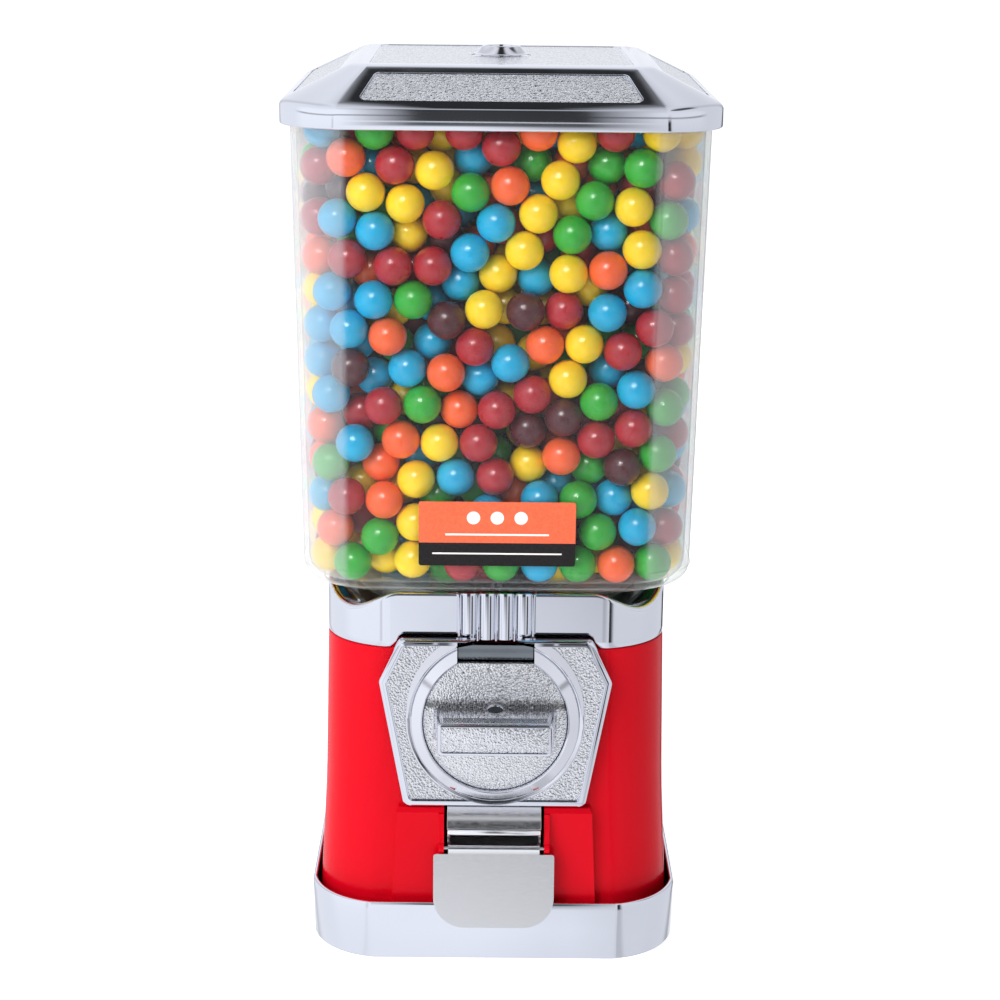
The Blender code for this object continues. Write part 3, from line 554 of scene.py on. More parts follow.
def make_lid():
    # Half width, height and corner size, from the flat top down the skirt and back up inside it.
    profile = [
        (64.0, 425.75, 8.0), (66.4, 425.72, 8.2), (67.9, 425.5, 8.6), (69.1, 425.1, 9.0), (70.4, 424.45, 9.6),
        (84.0, 417.8, 18.0), (97.4, 411.2, 26.2), (98.6, 410.5, 26.8), (99.5, 409.6, 27.2),
        (100.0, 408.4, 27.3), (100.0, 407.7, 27.3), (100.0, 401.2, 27.3), (100.0, 400.6, 27.3),
        (99.85, 400.0, 27.2), (99.4, 399.6, 27.1), (98.8, 399.5, 27.0), (98.2, 399.6, 26.6),
        (97.9, 400.1, 26.4), (97.8, 408.6, 26.0), (68.4, 423.2, 8.0),
    ]
    rings = [level(rounded_square(h, h, c, 18), z) for h, z, c in profile]
    low, high = Vector((98.9, 410.45)), Vector((69.3, 425.0))
    near, far = low.lerp(high, 0.13), low.lerp(high, 0.85)
    normal = Vector((high.y - low.y, low.x - high.x)).normalized()
    run = (far - near).length

    def slope_panel(margin, bottom, top):
        """A plate on the front slope, drawn in by a margin, between two heights over the slope."""
        foot, head, end = 63.4 - margin, 56.4 - margin, run - margin
        corners = [(-foot, margin), (foot, margin), (head, end), (-head, end)]
        along = (far - near).normalized()
        rings = []
        for out in (bottom, top):
            ring = rounded_polygon(corners, 3.2 - margin * 0.5)
            spots = [(a, near + along * b + normal * out) for a, b in ring]
            rings.append([(a, -spot.x, spot.y) for a, spot in spots])
        return loft(rings)

    plateau = rounded_polygon(rectangle(-60, 60, -60, 60), 4)
    cuts = [spun(slope_panel(0.0, -0.85, 3.0), k * math.pi / 2) for k in range(4)]
    cuts.append(prism(plateau, 425.25, 430))
    cuts.append(prism(circle(9.6, 48), 410, 440))
    piece("lid_shell", loft(rings), CHROME, "lid", ("lid",), bevel=0.55, cuts=cuts)
    for k, side in enumerate(("front", "right", "rear", "left")):
        panel = spun(slope_panel(0.45, -0.88, -0.4), k * math.pi / 2)
        piece(f"lid_panel_{side}", panel, GRAIN, "lid", bevel=0.25, segments=2)
    inner = rounded_polygon(rectangle(-59.4, 59.4, -59.4, 59.4), 3.6)
    piece(
        "lid_panel_top", prism(inner, 425.2, 425.5), GRAIN, "lid",
        bevel=0.12, segments=2, cuts=[prism(circle(14.2, 64), 420, 430)],
    )
    bezel = [
        (7.6, 418.6), (9.2, 418.6), (9.2, 426.0), (13.3, 426.0), (13.4, 426.2), (13.3, 426.4), (12.5, 426.5),
        (12.1, 426.7), (9.3, 429.5), (9.0, 429.8), (8.6, 429.95), (8.3, 430.0), (8.0, 430.0), (7.7, 429.85),
        (7.6, 429.5),
    ]
    piece("lock_boss", turned(bezel, 72), RING, "lid", ("lock_bezel",), angle=40)
    plug = [(0, 418.4), (7.2, 418.4), (7.2, 428.9), (7.0, 429.2), (6.7, 429.3), (0, 429.3)]
    ring = [(2.4, 426.0), (4.2, 426.0), (4.2, 435.0), (2.4, 435.0)]
    piece(
        "lock_face", turned(plug, 56), STEEL, "lock", ("lock_plug",), bevel=0.12, segments=2,
        cuts=[turned(ring, 40), block((-0.7, 3.6, 426.0), (0.7, 5.4, 435))],
    )


# -------- hopper and contents

OUTER_FOOT, INNER_FOOT = 91.6, 89.1


def hopper_half(z, foot=OUTER_FOOT):
    """Half the hopper's width: its walls lean out by 3.9 mm in the 208.5 mm above their foot, at 200 mm."""
    return foot + 3.9 * (z - 200.0) / 208.5


def make_hopper():
    def squares(*rows):
        """Rings of the square bin: half width, height and corner size."""
        return [level(with_sides(rounded_square(half, half, corner, 16), 14), z) for half, z, corner in rows]

    facing = with_sides(rounded_square(OUTER_FOOT, OUTER_FOOT, 24.0, 16), 14)

    def rounds(*rows):
        """Rings of the neck and of the floor beside it: radius and height."""
        return [level(facing_circle(facing, radius), z) for radius, z in rows]

    rings = squares((95.3, 408.5, 24.0), (95.5, 408.1, 24.0))
    rings += squares(*((hopper_half(z), z, 24.0) for z in (380, 340, 300, 260, 230, 210, 198.5, 195.4)))
    bead = ((91.9, 195.2), (92.1, 194.8), (92.1, 194.2), (91.9, 193.9), (91.2, 193.6))
    rings += squares(*((half, z, 24.0) for half, z in bead))
    for k in range(1, 10):
        a = math.radians(10 * k)
        rings += squares((91.3 - 9.2 * (1 - math.cos(a)), 193.7 - 9.4 * math.sin(a), 24.0 - 0.2 * k))
    rings += squares((82.6, 184.2, 22.2), (82.7, 183.7, 22.2), (82.3, 183.4, 22.1), (80.0, 183.4, 21.5))
    rings += rounds((77.2, 183.3), (76.0, 182.4), (69.3, 172.0), (68.5, 170.4), (68.4, 168.3), (68.0, 168.1))
    rings += rounds((65.0, 168.1), (64.6, 168.4), (64.9, 171.5), (65.4, 173.0), (73.6, 185.6), (75.4, 186.9))
    rings += squares((79.5, 187.0, 20), (83.0, 187.3, 21), (86.0, 188.7, 22), (88.0, 191.6, 22.4))
    rings += squares((88.9, 195.5, 22.6), (hopper_half(200) - WALL, 200, 22.8))
    rings += squares((hopper_half(300) - WALL, 300, 22.8), (hopper_half(407) - WALL, 408.3, 22.8))
    rings += squares((93.3, 408.5, 22.9))
    piece("clear_hopper", loft(rings, closed=True), CLEAR, "base", ("hopper",), angle=50)

    low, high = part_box("front_label")
    low, high = low.z, high.z
    outline = rounded_polygon(rectangle(-36.3, 36.3, low / MM, high / MM), 1.2, 5)
    faces = [[(x, -(hopper_half(z) + back), z) for x, z in outline] for back in (0.25, 0.55)]
    film = printed("label_print", low, high)
    piece("label_film", loft(faces), film, "base", ("front_label",), angle=40)


CORNER_ARC = 17.8  # radius of the path of a ball's centre round the hopper's corner
FLOOR_Z, SLOPE_FOOT, SLOPE_RUN, SLOPE_RISE = 176.6, 62.0, 15.0, 10.8
POSTS = ((4.2, 420.0), (6.2, 188.2), (17.6, 183.4))  # radius and top of the rod, its nut and the hub
BRUSH_COVER = (((0.0, -38.0, 174.0), 17.8), ((0.0, -61.5, 176.0), 6.5))


def push_from(points, centre, distance):
    """Moves the points that are nearer than distance from a centre straight away from it."""
    away = points - centre
    far = np.linalg.norm(away, axis=1)
    near = far < distance
    away[near] /= np.maximum(far[near], 1e-6)[:, None]
    points[near] = centre + away[near] * distance


def keep_inside(p, r):
    """Keeps ball centres inside the hopper's walls, above its floor, and off the rod, hub and brush cover."""
    half = hopper_half(p[:, 2], INNER_FOOT) - r - 0.15
    core = half - CORNER_ARC
    for axis in (0, 1):
        p[:, axis] = np.clip(p[:, axis], -half, half)
    ax, ay = np.abs(p[:, 0]) - core, np.abs(p[:, 1]) - core
    far = np.hypot(ax, ay)
    out = (ax > 0) & (ay > 0) & (far > CORNER_ARC)
    share = CORNER_ARC / np.maximum(far[out], 1e-6)
    p[out, 0] = np.sign(p[out, 0]) * (core[out] + ax[out] * share)
    p[out, 1] = np.sign(p[out, 1]) * (core[out] + ay[out] * share)
    reach = np.hypot(p[:, 0], p[:, 1])
    floor = FLOOR_Z + r + np.clip((reach - SLOPE_FOOT) / SLOPE_RUN, 0, 1) * SLOPE_RISE
    p[:, 2] = np.maximum(p[:, 2], floor)
    for radius, top in POSTS:
        gap = np.array([np.maximum(reach - radius, 0.0), np.maximum(p[:, 2] - top, 0.0)])
        miss = np.hypot(*gap)
        near = (miss < r) & (p[:, 2] > top - 3)
        p[near, 2] += (r - miss[near]) * 0.5
        side = (miss < r) & (p[:, 2] <= top)
        grow = (radius + r) / np.maximum(reach[side], 1e-3)
        p[side, 0] *= grow
        p[side, 1] *= grow
    for centre, radius in BRUSH_COVER:
        push_from(p, np.array(centre), r + radius)


def settle(count, r, top, rng):
    """Scatters balls through the hopper, then pushes them apart until they lie side by side."""
    p = rng.uniform((-84, -84, 188), (84, 84, top), (count, 3))
    p = p[np.argsort(p[:, 2])]
    for step in range(420):
        if step % 4 == 0:
            order = np.argsort(p[:, 2])
            q = p[order]
            first, second = [], []
            for shift in range(1, 300):
                apart = np.abs(q[shift:] - q[:-shift])
                if apart[:, 2].min() > 2.4 * r:
                    break
                found = np.nonzero((apart < 2.4 * r).all(axis=1))[0]
                first.append(order[found])
                second.append(order[found + shift])
            a, b = np.concatenate(first), np.concatenate(second)
        for _ in range(4):
            away = p[a] - p[b]
            far = np.linalg.norm(away, axis=1)
            over = np.maximum(2 * r - far, 0.0)
            shift = away * (0.5 * over / np.maximum(far, 1e-6))[:, None]
            touching = (over > 0).astype(float)
            number = np.bincount(a, touching, count) + np.bincount(b, touching, count)
            moves = [np.bincount(a, s, count) - np.bincount(b, s, count) for s in shift.T]
            p += np.stack(moves, 1) * (3.0 / np.maximum(number, 3.0))[:, None]
            p[:, 2] = np.minimum(p[:, 2], top)
            keep_inside(p, r)
    return p


def ball_mesh(divisions):
    """A cube swollen to a sphere, as unit vertices and quads."""
    verts, faces, index = [], [], {}

    def corner(x, y, z):
        key = (x, y, z)
        if key not in index:
            spot = np.tan(np.array(key, float) / divisions * math.pi / 2 - math.pi / 4)
            spot = np.where(np.isin(key, (0, divisions)), np.sign(np.array(key) - divisions / 2), spot)
            index[key] = len(verts)
            verts.append(spot / np.linalg.norm(spot))
        return index[key]

    for axis in range(3):
        for side in (0, divisions):
            for i in range(divisions):
                for j in range(divisions):
                    quad = []
                    for a, b in ((i, j), (i + 1, j), (i + 1, j + 1), (i, j + 1)):
                        key = [0, 0, 0]
                        key[axis], key[(axis + 1) % 3], key[(axis + 2) % 3] = side, a, b
                        quad.append(corner(*key))
                    faces.append(quad if side else quad[::-1])
    return np.array(verts), np.array(faces)


GUM = {
    "green": ((0.03, 0.4, 0.035), (0.024, 0.35, 0.03)),
    "blue": ((0.003, 0.4, 0.68), (0.003, 0.35, 0.62)),
    "crimson": ((0.42, 0.018, 0.03), (0.36, 0.014, 0.024)),
    "orange": ((0.92, 0.13, 0.03), (0.86, 0.11, 0.024)),
    "yellow": ((0.95, 0.66, 0.012), (0.91, 0.6, 0.01)),
    "brown": ((0.085, 0.016, 0.022), (0.066, 0.013, 0.018)),
}
GUM_SHARES = (0.24, 0.17, 0.17, 0.15, 0.19, 0.08)


def balls_object(name, centres, radii, fine, look, body):
    """One mesh of many balls, those near a clear wall finer than those buried behind them."""
    verts, faces, start = [], [], 0
    for divisions, chosen in ((7, fine), (4, ~fine)):
        unit, quads = ball_mesh(divisions)
        for centre, radius in zip(centres[chosen], radii[chosen]):
            verts.append(unit * radius + centre)
            faces.append(quads + start)
            start += len(unit)
    mesh = bpy.data.meshes.new(name)
    mesh.from_pydata((np.concatenate(verts) * MM).tolist(), [], np.concatenate(faces).tolist())
    mesh.materials.append(look)
    mesh.shade_smooth()
    made = bpy.data.objects.new(name, mesh)
    bpy.context.scene.collection.objects.link(made)
    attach(made, body)


def make_gumballs():
    r = 9.0
    count = 1372
    rng = np.random.default_rng(11)
    centres = settle(count, r, 398.2, rng)
    reach = np.hypot(centres[:, 0], centres[:, 1])
    under_lock = reach < 26
    centres = centres[centres[:, 2] < np.where(under_lock, 393.0, 398.4)]
    colours = rng.choice(len(GUM), len(centres), p=GUM_SHARES)
    radii = np.full(len(centres), r - 0.07)
    wall = hopper_half(centres[:, 2], INNER_FOOT)
    outer = np.maximum(np.abs(centres[:, 0]), np.abs(centres[:, 1])) > wall - 2.6 * r
    fine = outer | (centres[:, 2] < 200) | (centres[:, 2] > 378)
    looks = {name: candy(f"gum_{name}", *pair) for name, pair in GUM.items()}
    for k, name in enumerate(GUM):
        chosen = colours == k
        balls_object(f"gumballs_{name}", centres[chosen], radii[chosen], fine[chosen], looks[name], "base")
    pocket_reach, pocket_floor = 38, 158.5
    for k, name in zip(range(1, 6), GUM):
        a = -math.pi / 2 + k * math.tau / 6
        spot = np.array([[pocket_reach * math.cos(a), pocket_reach * math.sin(a), pocket_floor + 8.9]])
        balls_object(f"pocket_gumball_{name}", spot, np.array([8.7]), np.array([True]), looks[name], "wheel")


# -------- collar, body and tray

def make_collar():
    outline = {d: with_sides(rounded_square(81 - d, 81 - d, 28.4 - d / 3, 26), 40) for d in (0.0, 5.0, 2.5)}
    outer, inner = outline[0.0], outline[5.0]
    dips = []
    for x, y in outer:
        across = max(0.0, min(1.0, (min(abs(x), abs(y)) - 46.5) / 24.8))
        dips.append(0.5 - 0.5 * math.cos(math.pi * across))

    def ring(share, height):
        """A ring of the lip: how far over its width, and how high on its roundness."""
        found = []
        for (x, y), (ix, iy), dip in zip(outer, inner, dips):
            width, rise = 2.6 + 2.4 * dip, 1.1 + 2.0 * dip
            t = share * width / 5.0
            top = 181.6 - 8.6 * dip
            found.append((x + (ix - x) * t, y + (iy - y) * t, top - rise + rise * height))
        return found

    rings = [level(outer, 155.1), level(outer, 158.0), ring(0.0, -0.5), ring(0.0, 0.0)]
    for k in range(1, 8):
        a = math.radians(17.5 * k)
        rings.append(ring((1 - math.cos(a)) / 2, math.sin(a)))
    rings += [ring(1.0, 0.55)]
    steps = 5
    start = ring(1.0, 0.5)
    end = level(facing_circle(outer, 76.4), 166.0)
    for k in range(1, steps + 1):
        t = k / steps
        rings.append([tuple(Vector(a).lerp(Vector(b), t)) for a, b in zip(start, end)])
    rings += [level(facing_circle(outer, 76.0), 165.3), level(facing_circle(outer, 76.0), 163.5)]
    rings += [level(outline[2.5], 161.5), level(outline[2.5], 154.8), level(outline[2.5], 154.7)]
    edge = with_sides(rounded_square(80.7, 80.7, 28.3, 26), 40)
    rings += [level(edge, 154.7)]
    piece("collar_ring", loft(rings, closed=True), CHROME, "base", ("collar",), angle=48)

    panel = [(-19.2, -80.0)]
    rib = [(-1.1, -81.6), (-0.75, -83.5), (-0.3, -84.0), (0.3, -84.0), (0.75, -83.5)]
    centres = [-17.4 + 8.7 * k for k in range(5)]
    for left, right in zip(centres, centres[1:]):
        panel += [(left + x, y) for x, y in rib]
        panel += [(left + 1.1, -82.0), (left + 2.0, -82.5), ((left + right) / 2, -82.8)]
        panel += [(right - 2.0, -82.5), (right - 1.1, -82.0)]
    panel += [(centres[-1] + x, y) for x, y in rib[1:]] + [(18.5, -81.6), (19.2, -80.0)]
    rings = []
    for z, back in ((159.0, 0.0), (180.2, 0.0), (180.9, 0.04), (181.7, 0.4), (182.1, 1.1)):
        rings.append([(x, y + back if y < -80.5 else y, z) for x, y in panel])
    piece("collar_ribs", loft(rings), CHROME, "base", bevel=0.18, angle=25, segments=2)


HEX = ((45.5, 160.6), (-45.5, 160.6), (-55.4, 139.3), (-43.7, 76.2), (43.7, 76.2), (55.4, 139.3))


def scaled_hex(inset, radius, steps=6):
    """The faceplate's outline moved in by a distance, with rounded corners."""
    points = [Vector(corner) for corner in HEX]
    moved = []
    for i, here in enumerate(points):
        before, after = (points[i - 1] - here).normalized(), (points[(i + 1) % 6] - here).normalized()
        half_angle = before.angle(after) / 2
        moved.append(tuple(here + (before + after).normalized() * (inset / math.sin(half_angle))))
    return rounded_polygon(moved, radius, steps)


def make_body():
    # Height and half width, from the tray up to the collar.
    flare = [
        (4.6, 85.5), (14, 85.4), (28, 85.0), (39, 84.55), (50, 84.0), (62, 83.35), (75, 82.7), (87, 82.3),
        (100, 82.0), (127, 81.5), (154.0, 81.02), (154.4, 80.7),
    ]
    lining = reversed(flare[::3] + [(154.4, 81.0)])
    outer = [level(rounded_square(h, h, 28.4, 20), z) for z, h in flare]
    inner = [level(rounded_square(h - WALL, h - WALL, 26.9, 20), z) for z, h in lining]
    # The chute surround: height, half width at the back and at the face, and the face's place.
    levels = ((5.0, 50.5, 50.5, -88.0), (73.6, 47.0, 46.9, -88.0), (75.7, 46.4, 45.9, -86.4))
    surround = loft([
        [(-back, -80.5, z), (back, -80.5, z), (face, y, z), (-face, y, z)] for z, back, face, y in levels
    ])
    seat = [(x, min(z, 153.8)) for x, z in scaled_hex(3.2, 4, 5)]
    turns = [-math.pi * k / 16 for k in range(17)]
    ear = [(PIN_Y + 2.2 * math.sin(a), PIN_Z - 2.2 * math.cos(a)) for a in turns]
    ear += [(-89.6, 73.4), (-84.0, 73.4), (-84.0, 54.8)]
    ears = [prism(ear, low, high, "X") for low, high in ((-26.6, -24.0), (24.0, 26.6))]
    joined = [surround, prism(seat, -84.0, -79.6, "Y"), *ears]
    cuts = [
        block((-24, -95, 30), (24, -70, 81)),
        cylinder(33, 0, 20, 64, "Y", (0, -90, MECH_Z)),
        cylinder(1.25, 0, 52.4, 20, "X", (-26.2, PIN_Y, PIN_Z)),
    ]
    piece(
        "red_body", loft(outer + inner, closed=True), RED, "base", ("body_shell",),
        bevel=0.7, joined=joined, cuts=cuts, angle=36,
    )


def make_tray():
    # Inset, height and corner size, from the foot up over the rim and down inside it.
    profile = [
        (1.4, 0.0, 30.0), (0.95, 0.25, 30.0), (0.75, 0.8, 30.0), (0.1, 25.2, 30.0), (0.0, 28.2, 30.0),
        (0.15, 29.0, 30.0), (0.6, 29.35, 30.0), (1.1, 29.4, 30.0), (1.6, 29.25, 30.0), (1.95, 28.7, 30.0),
        (2.0, 28.0, 29.0), (2.75, 5.2, 29.0), (3.8, 4.3, 28.5),
    ]
    rings = [level(rounded_square(89.0 - inset, 94.0 - inset, corner, 20), z) for inset, z, corner in profile]
    piece(
        "plated_tray", loft(rings), CHROME, "base", ("base_tray",), angle=44,
        joined=[turned([(0, 3), (12, 3), (12, 13.4), (11.4, 14), (0, 14)], 40)],
        cuts=[cylinder(4.3, 6, 20, 32)],
    )


# -------- coin mechanism

SLOT_HALF = 18.2


def dial(radius, angle, side=1):
    """A point round the handle's axis, by its angle from the top."""
    return (side * radius * math.sin(angle), MECH_Z + radius * math.cos(angle))


def dial_hole(radius):
    return cylinder(radius, -80, -95, 96, "Y", (0, 0, MECH_Z))


def make_faceplate():
    steps = ((0.0, -84.3), (0.0, -86.6), (0.5, -87.5), (1.3, -88.0))
    rings = [upright(scaled_hex(inset, 4.0 - inset * 0.3), y) for inset, y in steps]
    notch = block((-SLOT_HALF, -95, MECH_Z + 29.2), (SLOT_HALF, -86.0, 159.4))
    throat = block((-17.8, -87, MECH_Z + 26.5), (17.8, -82, 157.7))
    field = prism(scaled_hex(3.1, 3.0), -86.3, -95, "Y")
    piece(
        "mech_plate", loft(rings), CHROME, "base", ("mech_faceplate",),
        bevel=0.35, cuts=[field, dial_hole(42.0), notch, throat],
    )
    grain = prism(scaled_hex(3.6, 2.6), -86.25, -86.6, "Y")
    cuts = [dial_hole(42.6), block((-19.4, -95, 140), (19.4, -80, 160.0))]
    piece("mech_field", grain, GRAIN, "base", bevel=0.12, segments=2, cuts=cuts)
    ring = [
        (34.6, -84.3), (42.6, -84.3), (42.6, -86.25), (42.1, -86.5), (41.6, -86.5), (41.0, -86.1),
        (40.4, -86.1), (40.0, -86.5), (39.8, -87.2), (35.3, -89.95), (34.9, -89.8), (34.6, -89.3),
    ]
    notch = block((-SLOT_HALF, -95, MECH_Z + 27.5), (SLOT_HALF, -84.0, 165))
    piece(
        "coin_ring", turned(ring, 128, "Y", (0, 0, MECH_Z)), RING, "base", bevel=0.2, angle=40,
        cuts=[notch],
    )
    steps = 24
    turns = [math.radians(12 + 76 * k / steps) for k in range(steps + 1)]
    for side, name in ((-1, "left"), (1, "right")):
        outer = [dial(46.3 - 4.6 * (k / steps) ** 2, a, side) for k, a in enumerate(turns)]
        inner = [dial(41.4, a, side) for a in turns]
        outline = [(x, min(z, 158.3)) for x, z in outer] + inner[:0:-1]
        outline += [(side * 18.5, 156.8), (side * 18.5, 158.3)]
        shoulder = prism(outline, -86.2, -87.35, "Y")
        piece(f"ring_shoulder_{name}", shoulder, RING, "base", bevel=0.3, angle=24)
    funnel = [(-86.1, 157.1), (-85.75, 155.6), (-85.3, 154.1), (-84.9, 152.2), (-84.65, 150.1)]
    funnel += [(-84.2, 150.1), (-84.2, 157.6), (-86.1, 157.6)]
    # The funnel's dark plating is painted shade inside the coin slot.
    piece("coin_funnel", prism(funnel, -17.7, 17.7, "X"), SHADED, "base", angle=40)


def make_handle():
    def disc(radius, flat):
        """The disc's outline: a circle with a flat across its top."""
        edge = math.acos(flat / radius)
        return [dial(radius, edge + (math.tau - 2 * edge) * k / 96) for k in range(97)]

    steps = ((-85.3, 34.3, 29.5), (-87.5, 34.3, 29.5), (-87.85, 34.1, 29.3), (-88.0, 33.7, 28.9))
    rings = [upright(disc(radius, flat), y) for y, radius, flat in steps]
    piece("coin_disc", loft(rings), DISC_GRAIN, "handle", ("coin_handle",), angle=40)
    bar_z = MECH_Z - 1

    def bar_ring(y, half_x, half_z, radius):
        outline = rectangle(-half_x, half_x, -half_z, half_z)
        return [(a, y, bar_z + b) for a, b in rounded_polygon(outline, radius, 5)]

    body = loft([
        bar_ring(-87.5, 29.6, 8.6, 2.0), bar_ring(-88.3, 28.9, 8.3, 2.0), bar_ring(-90.0, 28.2, 8.1, 2.0),
        bar_ring(-106.0, 27.0, 7.7, 1.8), bar_ring(-109.0, 26.8, 7.6, 1.6),
    ])
    piece("coin_bar", body, RING, "handle", angle=50)
    root, tip = -88.6, -107.6
    tops = []
    for half, z in ((25.2, 7.6), (25.2, 8.02), (24.9, 8.1)):
        flat = rounded_polygon(rectangle(-half, half, tip, root), 1.2, 4)
        spots = [(x, y, (root - y) / (root - tip)) for x, y in flat]
        tops.append([(x * (1 - out * 0.03), y, bar_z + z - out * 0.42) for x, y, out in spots])
    piece("coin_bar_top", loft(tops), BAR_GRAIN, "handle", angle=40)
    rim = loft([
        bar_ring(-107.2, 27.05, 7.8, 1.7), bar_ring(-109.3, 26.95, 7.75, 1.7),
        bar_ring(-109.8, 26.7, 7.5, 1.7), bar_ring(-110.0, 26.3, 7.1, 1.6),
    ])
    inner = loft([bar_ring(-105.0, 25.5, 6.3, 1.4), bar_ring(-112.0, 25.5, 6.3, 1.4)])
    piece("coin_bar_rim", rim, CHROME, "handle", bevel=0.15, segments=2, cuts=[inner])
    face = loft([
        bar_ring(-108.4, 25.3, 6.1, 1.3), bar_ring(-109.45, 25.3, 6.1, 1.3),
        bar_ring(-109.55, 25.1, 5.9, 1.2),
    ])
    piece("coin_bar_face", face, GRAIN, "handle", angle=40)
    arc = [math.pi * k / 16 for k in range(17)]
    rings = []
    for y, w, h in ((-87.5, 4.6, 3.4), (-90.0, 4.4, 3.2), (-90.6, 4.0, 2.7)):
        rings.append([(w * math.cos(a), y, MECH_Z + 6.4 + h * math.sin(a)) for a in arc])
    piece("coin_pip", loft(rings), CHROME, "handle", angle=50)


# -------- chute

def make_chute():
    middle = [(-86.3, 76.2), (-88.4, 73.9), (-90.3, 71.7), (-91.5, 69.4), (-92.1, 67.0)]
    sheet = middle + [(y - 0.95, z + 0.25) for y, z in reversed(middle)]
    bead_y, bead_z, bead_radius = -92.3, 65.3, 1.4
    piece(
        "hood_sheet", prism(sheet, -22.5, 22.5, "X"), SATIN, "base", ("chute_hood",), bevel=0.15,
        segments=2, angle=40,
    )
    rings = []
    for x, share in ((-22.4, 0.75), (-22.1, 1.0), (22.1, 1.0), (22.4, 0.75)):
        ring = circle(bead_radius * share, 24)
        rings.append([(x, bead_y + y, bead_z + z) for y, z in ring])
    piece("hood_bead", loft(rings), SATIN, "base", angle=60)

    arc = [math.pi / 2 * k / 12 for k in range(13)]
    left = [(-14 - 15 * math.cos(a), 32.3 - 15 * math.sin(a)) for a in arc]
    shoulder = [(29, 53.3), (28.65, 54.15), (27.8, 54.5), (21.9, 54.5), (21.9, PIN_Z)]
    right = [(-x, z) for x, z in reversed(left)]
    outline = left + right + shoulder + [(-x, z) for x, z in reversed(shoulder)]
    sheet = prism(outline, -93.7, -92.5, "Y")
    tilt = Matrix.Rotation(math.radians(-4), 3, "X")
    bmesh.ops.rotate(sheet, verts=sheet.verts, cent=(0, PIN_Y, PIN_Z), matrix=tilt)
    barrel = cylinder(1.95, 0, 43.8, 32, "X", (-21.9, PIN_Y, PIN_Z))
    bore = cylinder(1.25, -2, 50, 24, "X", (-23, PIN_Y, PIN_Z))
    piece(
        "flap_sheet", sheet, SATIN, "flap", ("chute_flap",), bevel=0.3, angle=40, segments=2,
        joined=[barrel], cuts=[bore],
    )


# -------- studio

def make_floor():
    look = Nodes("pale_floor")
    look.set(
        Base_Color=look.ramp(look.noise(3, 3), (0.3, (0.90, 0.90, 0.90)), (0.7, (0.92, 0.92, 0.92))),
        Roughness=0.9,
        Specular_IOR_Level=0.0,
        Emission_Color=(1.0, 1.0, 1.0),
        Emission_Strength=0.57,
    )
    bm = bmesh.new()
    bm.faces.new([bm.verts.new((x, y, 0)) for x, y in rectangle(-1800, 1800, -1800, 1800)])
    made = mesh_object("studio_floor", bm)
    made.data.materials.append(look.material)
    made.visible_glossy = False


class Sky(Tree):
    """The world's nodes: brightness by the three coordinates of a direction."""

    def __init__(self, tree):
        super().__init__(tree)
        tree.nodes.clear()
        self.x, self.y, self.z = self.apart(self.add("ShaderNodeTexCoord").outputs["Generated"])

    def curve(self, value, *stops):
        """Stops of (value from -1 to 1, brightness)."""
        share = self.math("MULTIPLY_ADD", value, 0.5, 0.5)
        return self.greys(share, *((place / 2 + 0.5, level) for place, level in stops))

    def blend(self, factor, low, high):
        first = self.math("MULTIPLY", self.math("SUBTRACT", 1.0, factor), low)
        return self.math("ADD", first, self.math("MULTIPLY", factor, high))

    def darkened(self, light, mask, depth):
        return self.math("MULTIPLY", light, self.math("SUBTRACT", 1.0, self.math("MULTIPLY", mask, depth)))

    def shader(self, strength, colour=None):
        node = self.add("ShaderNodeBackground")
        node.inputs["Color"].default_value = (1, 1, 1, 1)
        node.inputs["Strength"].default_value = strength
        if colour is not None:
            self.link(colour, node.inputs["Color"])
        return node.outputs[0]


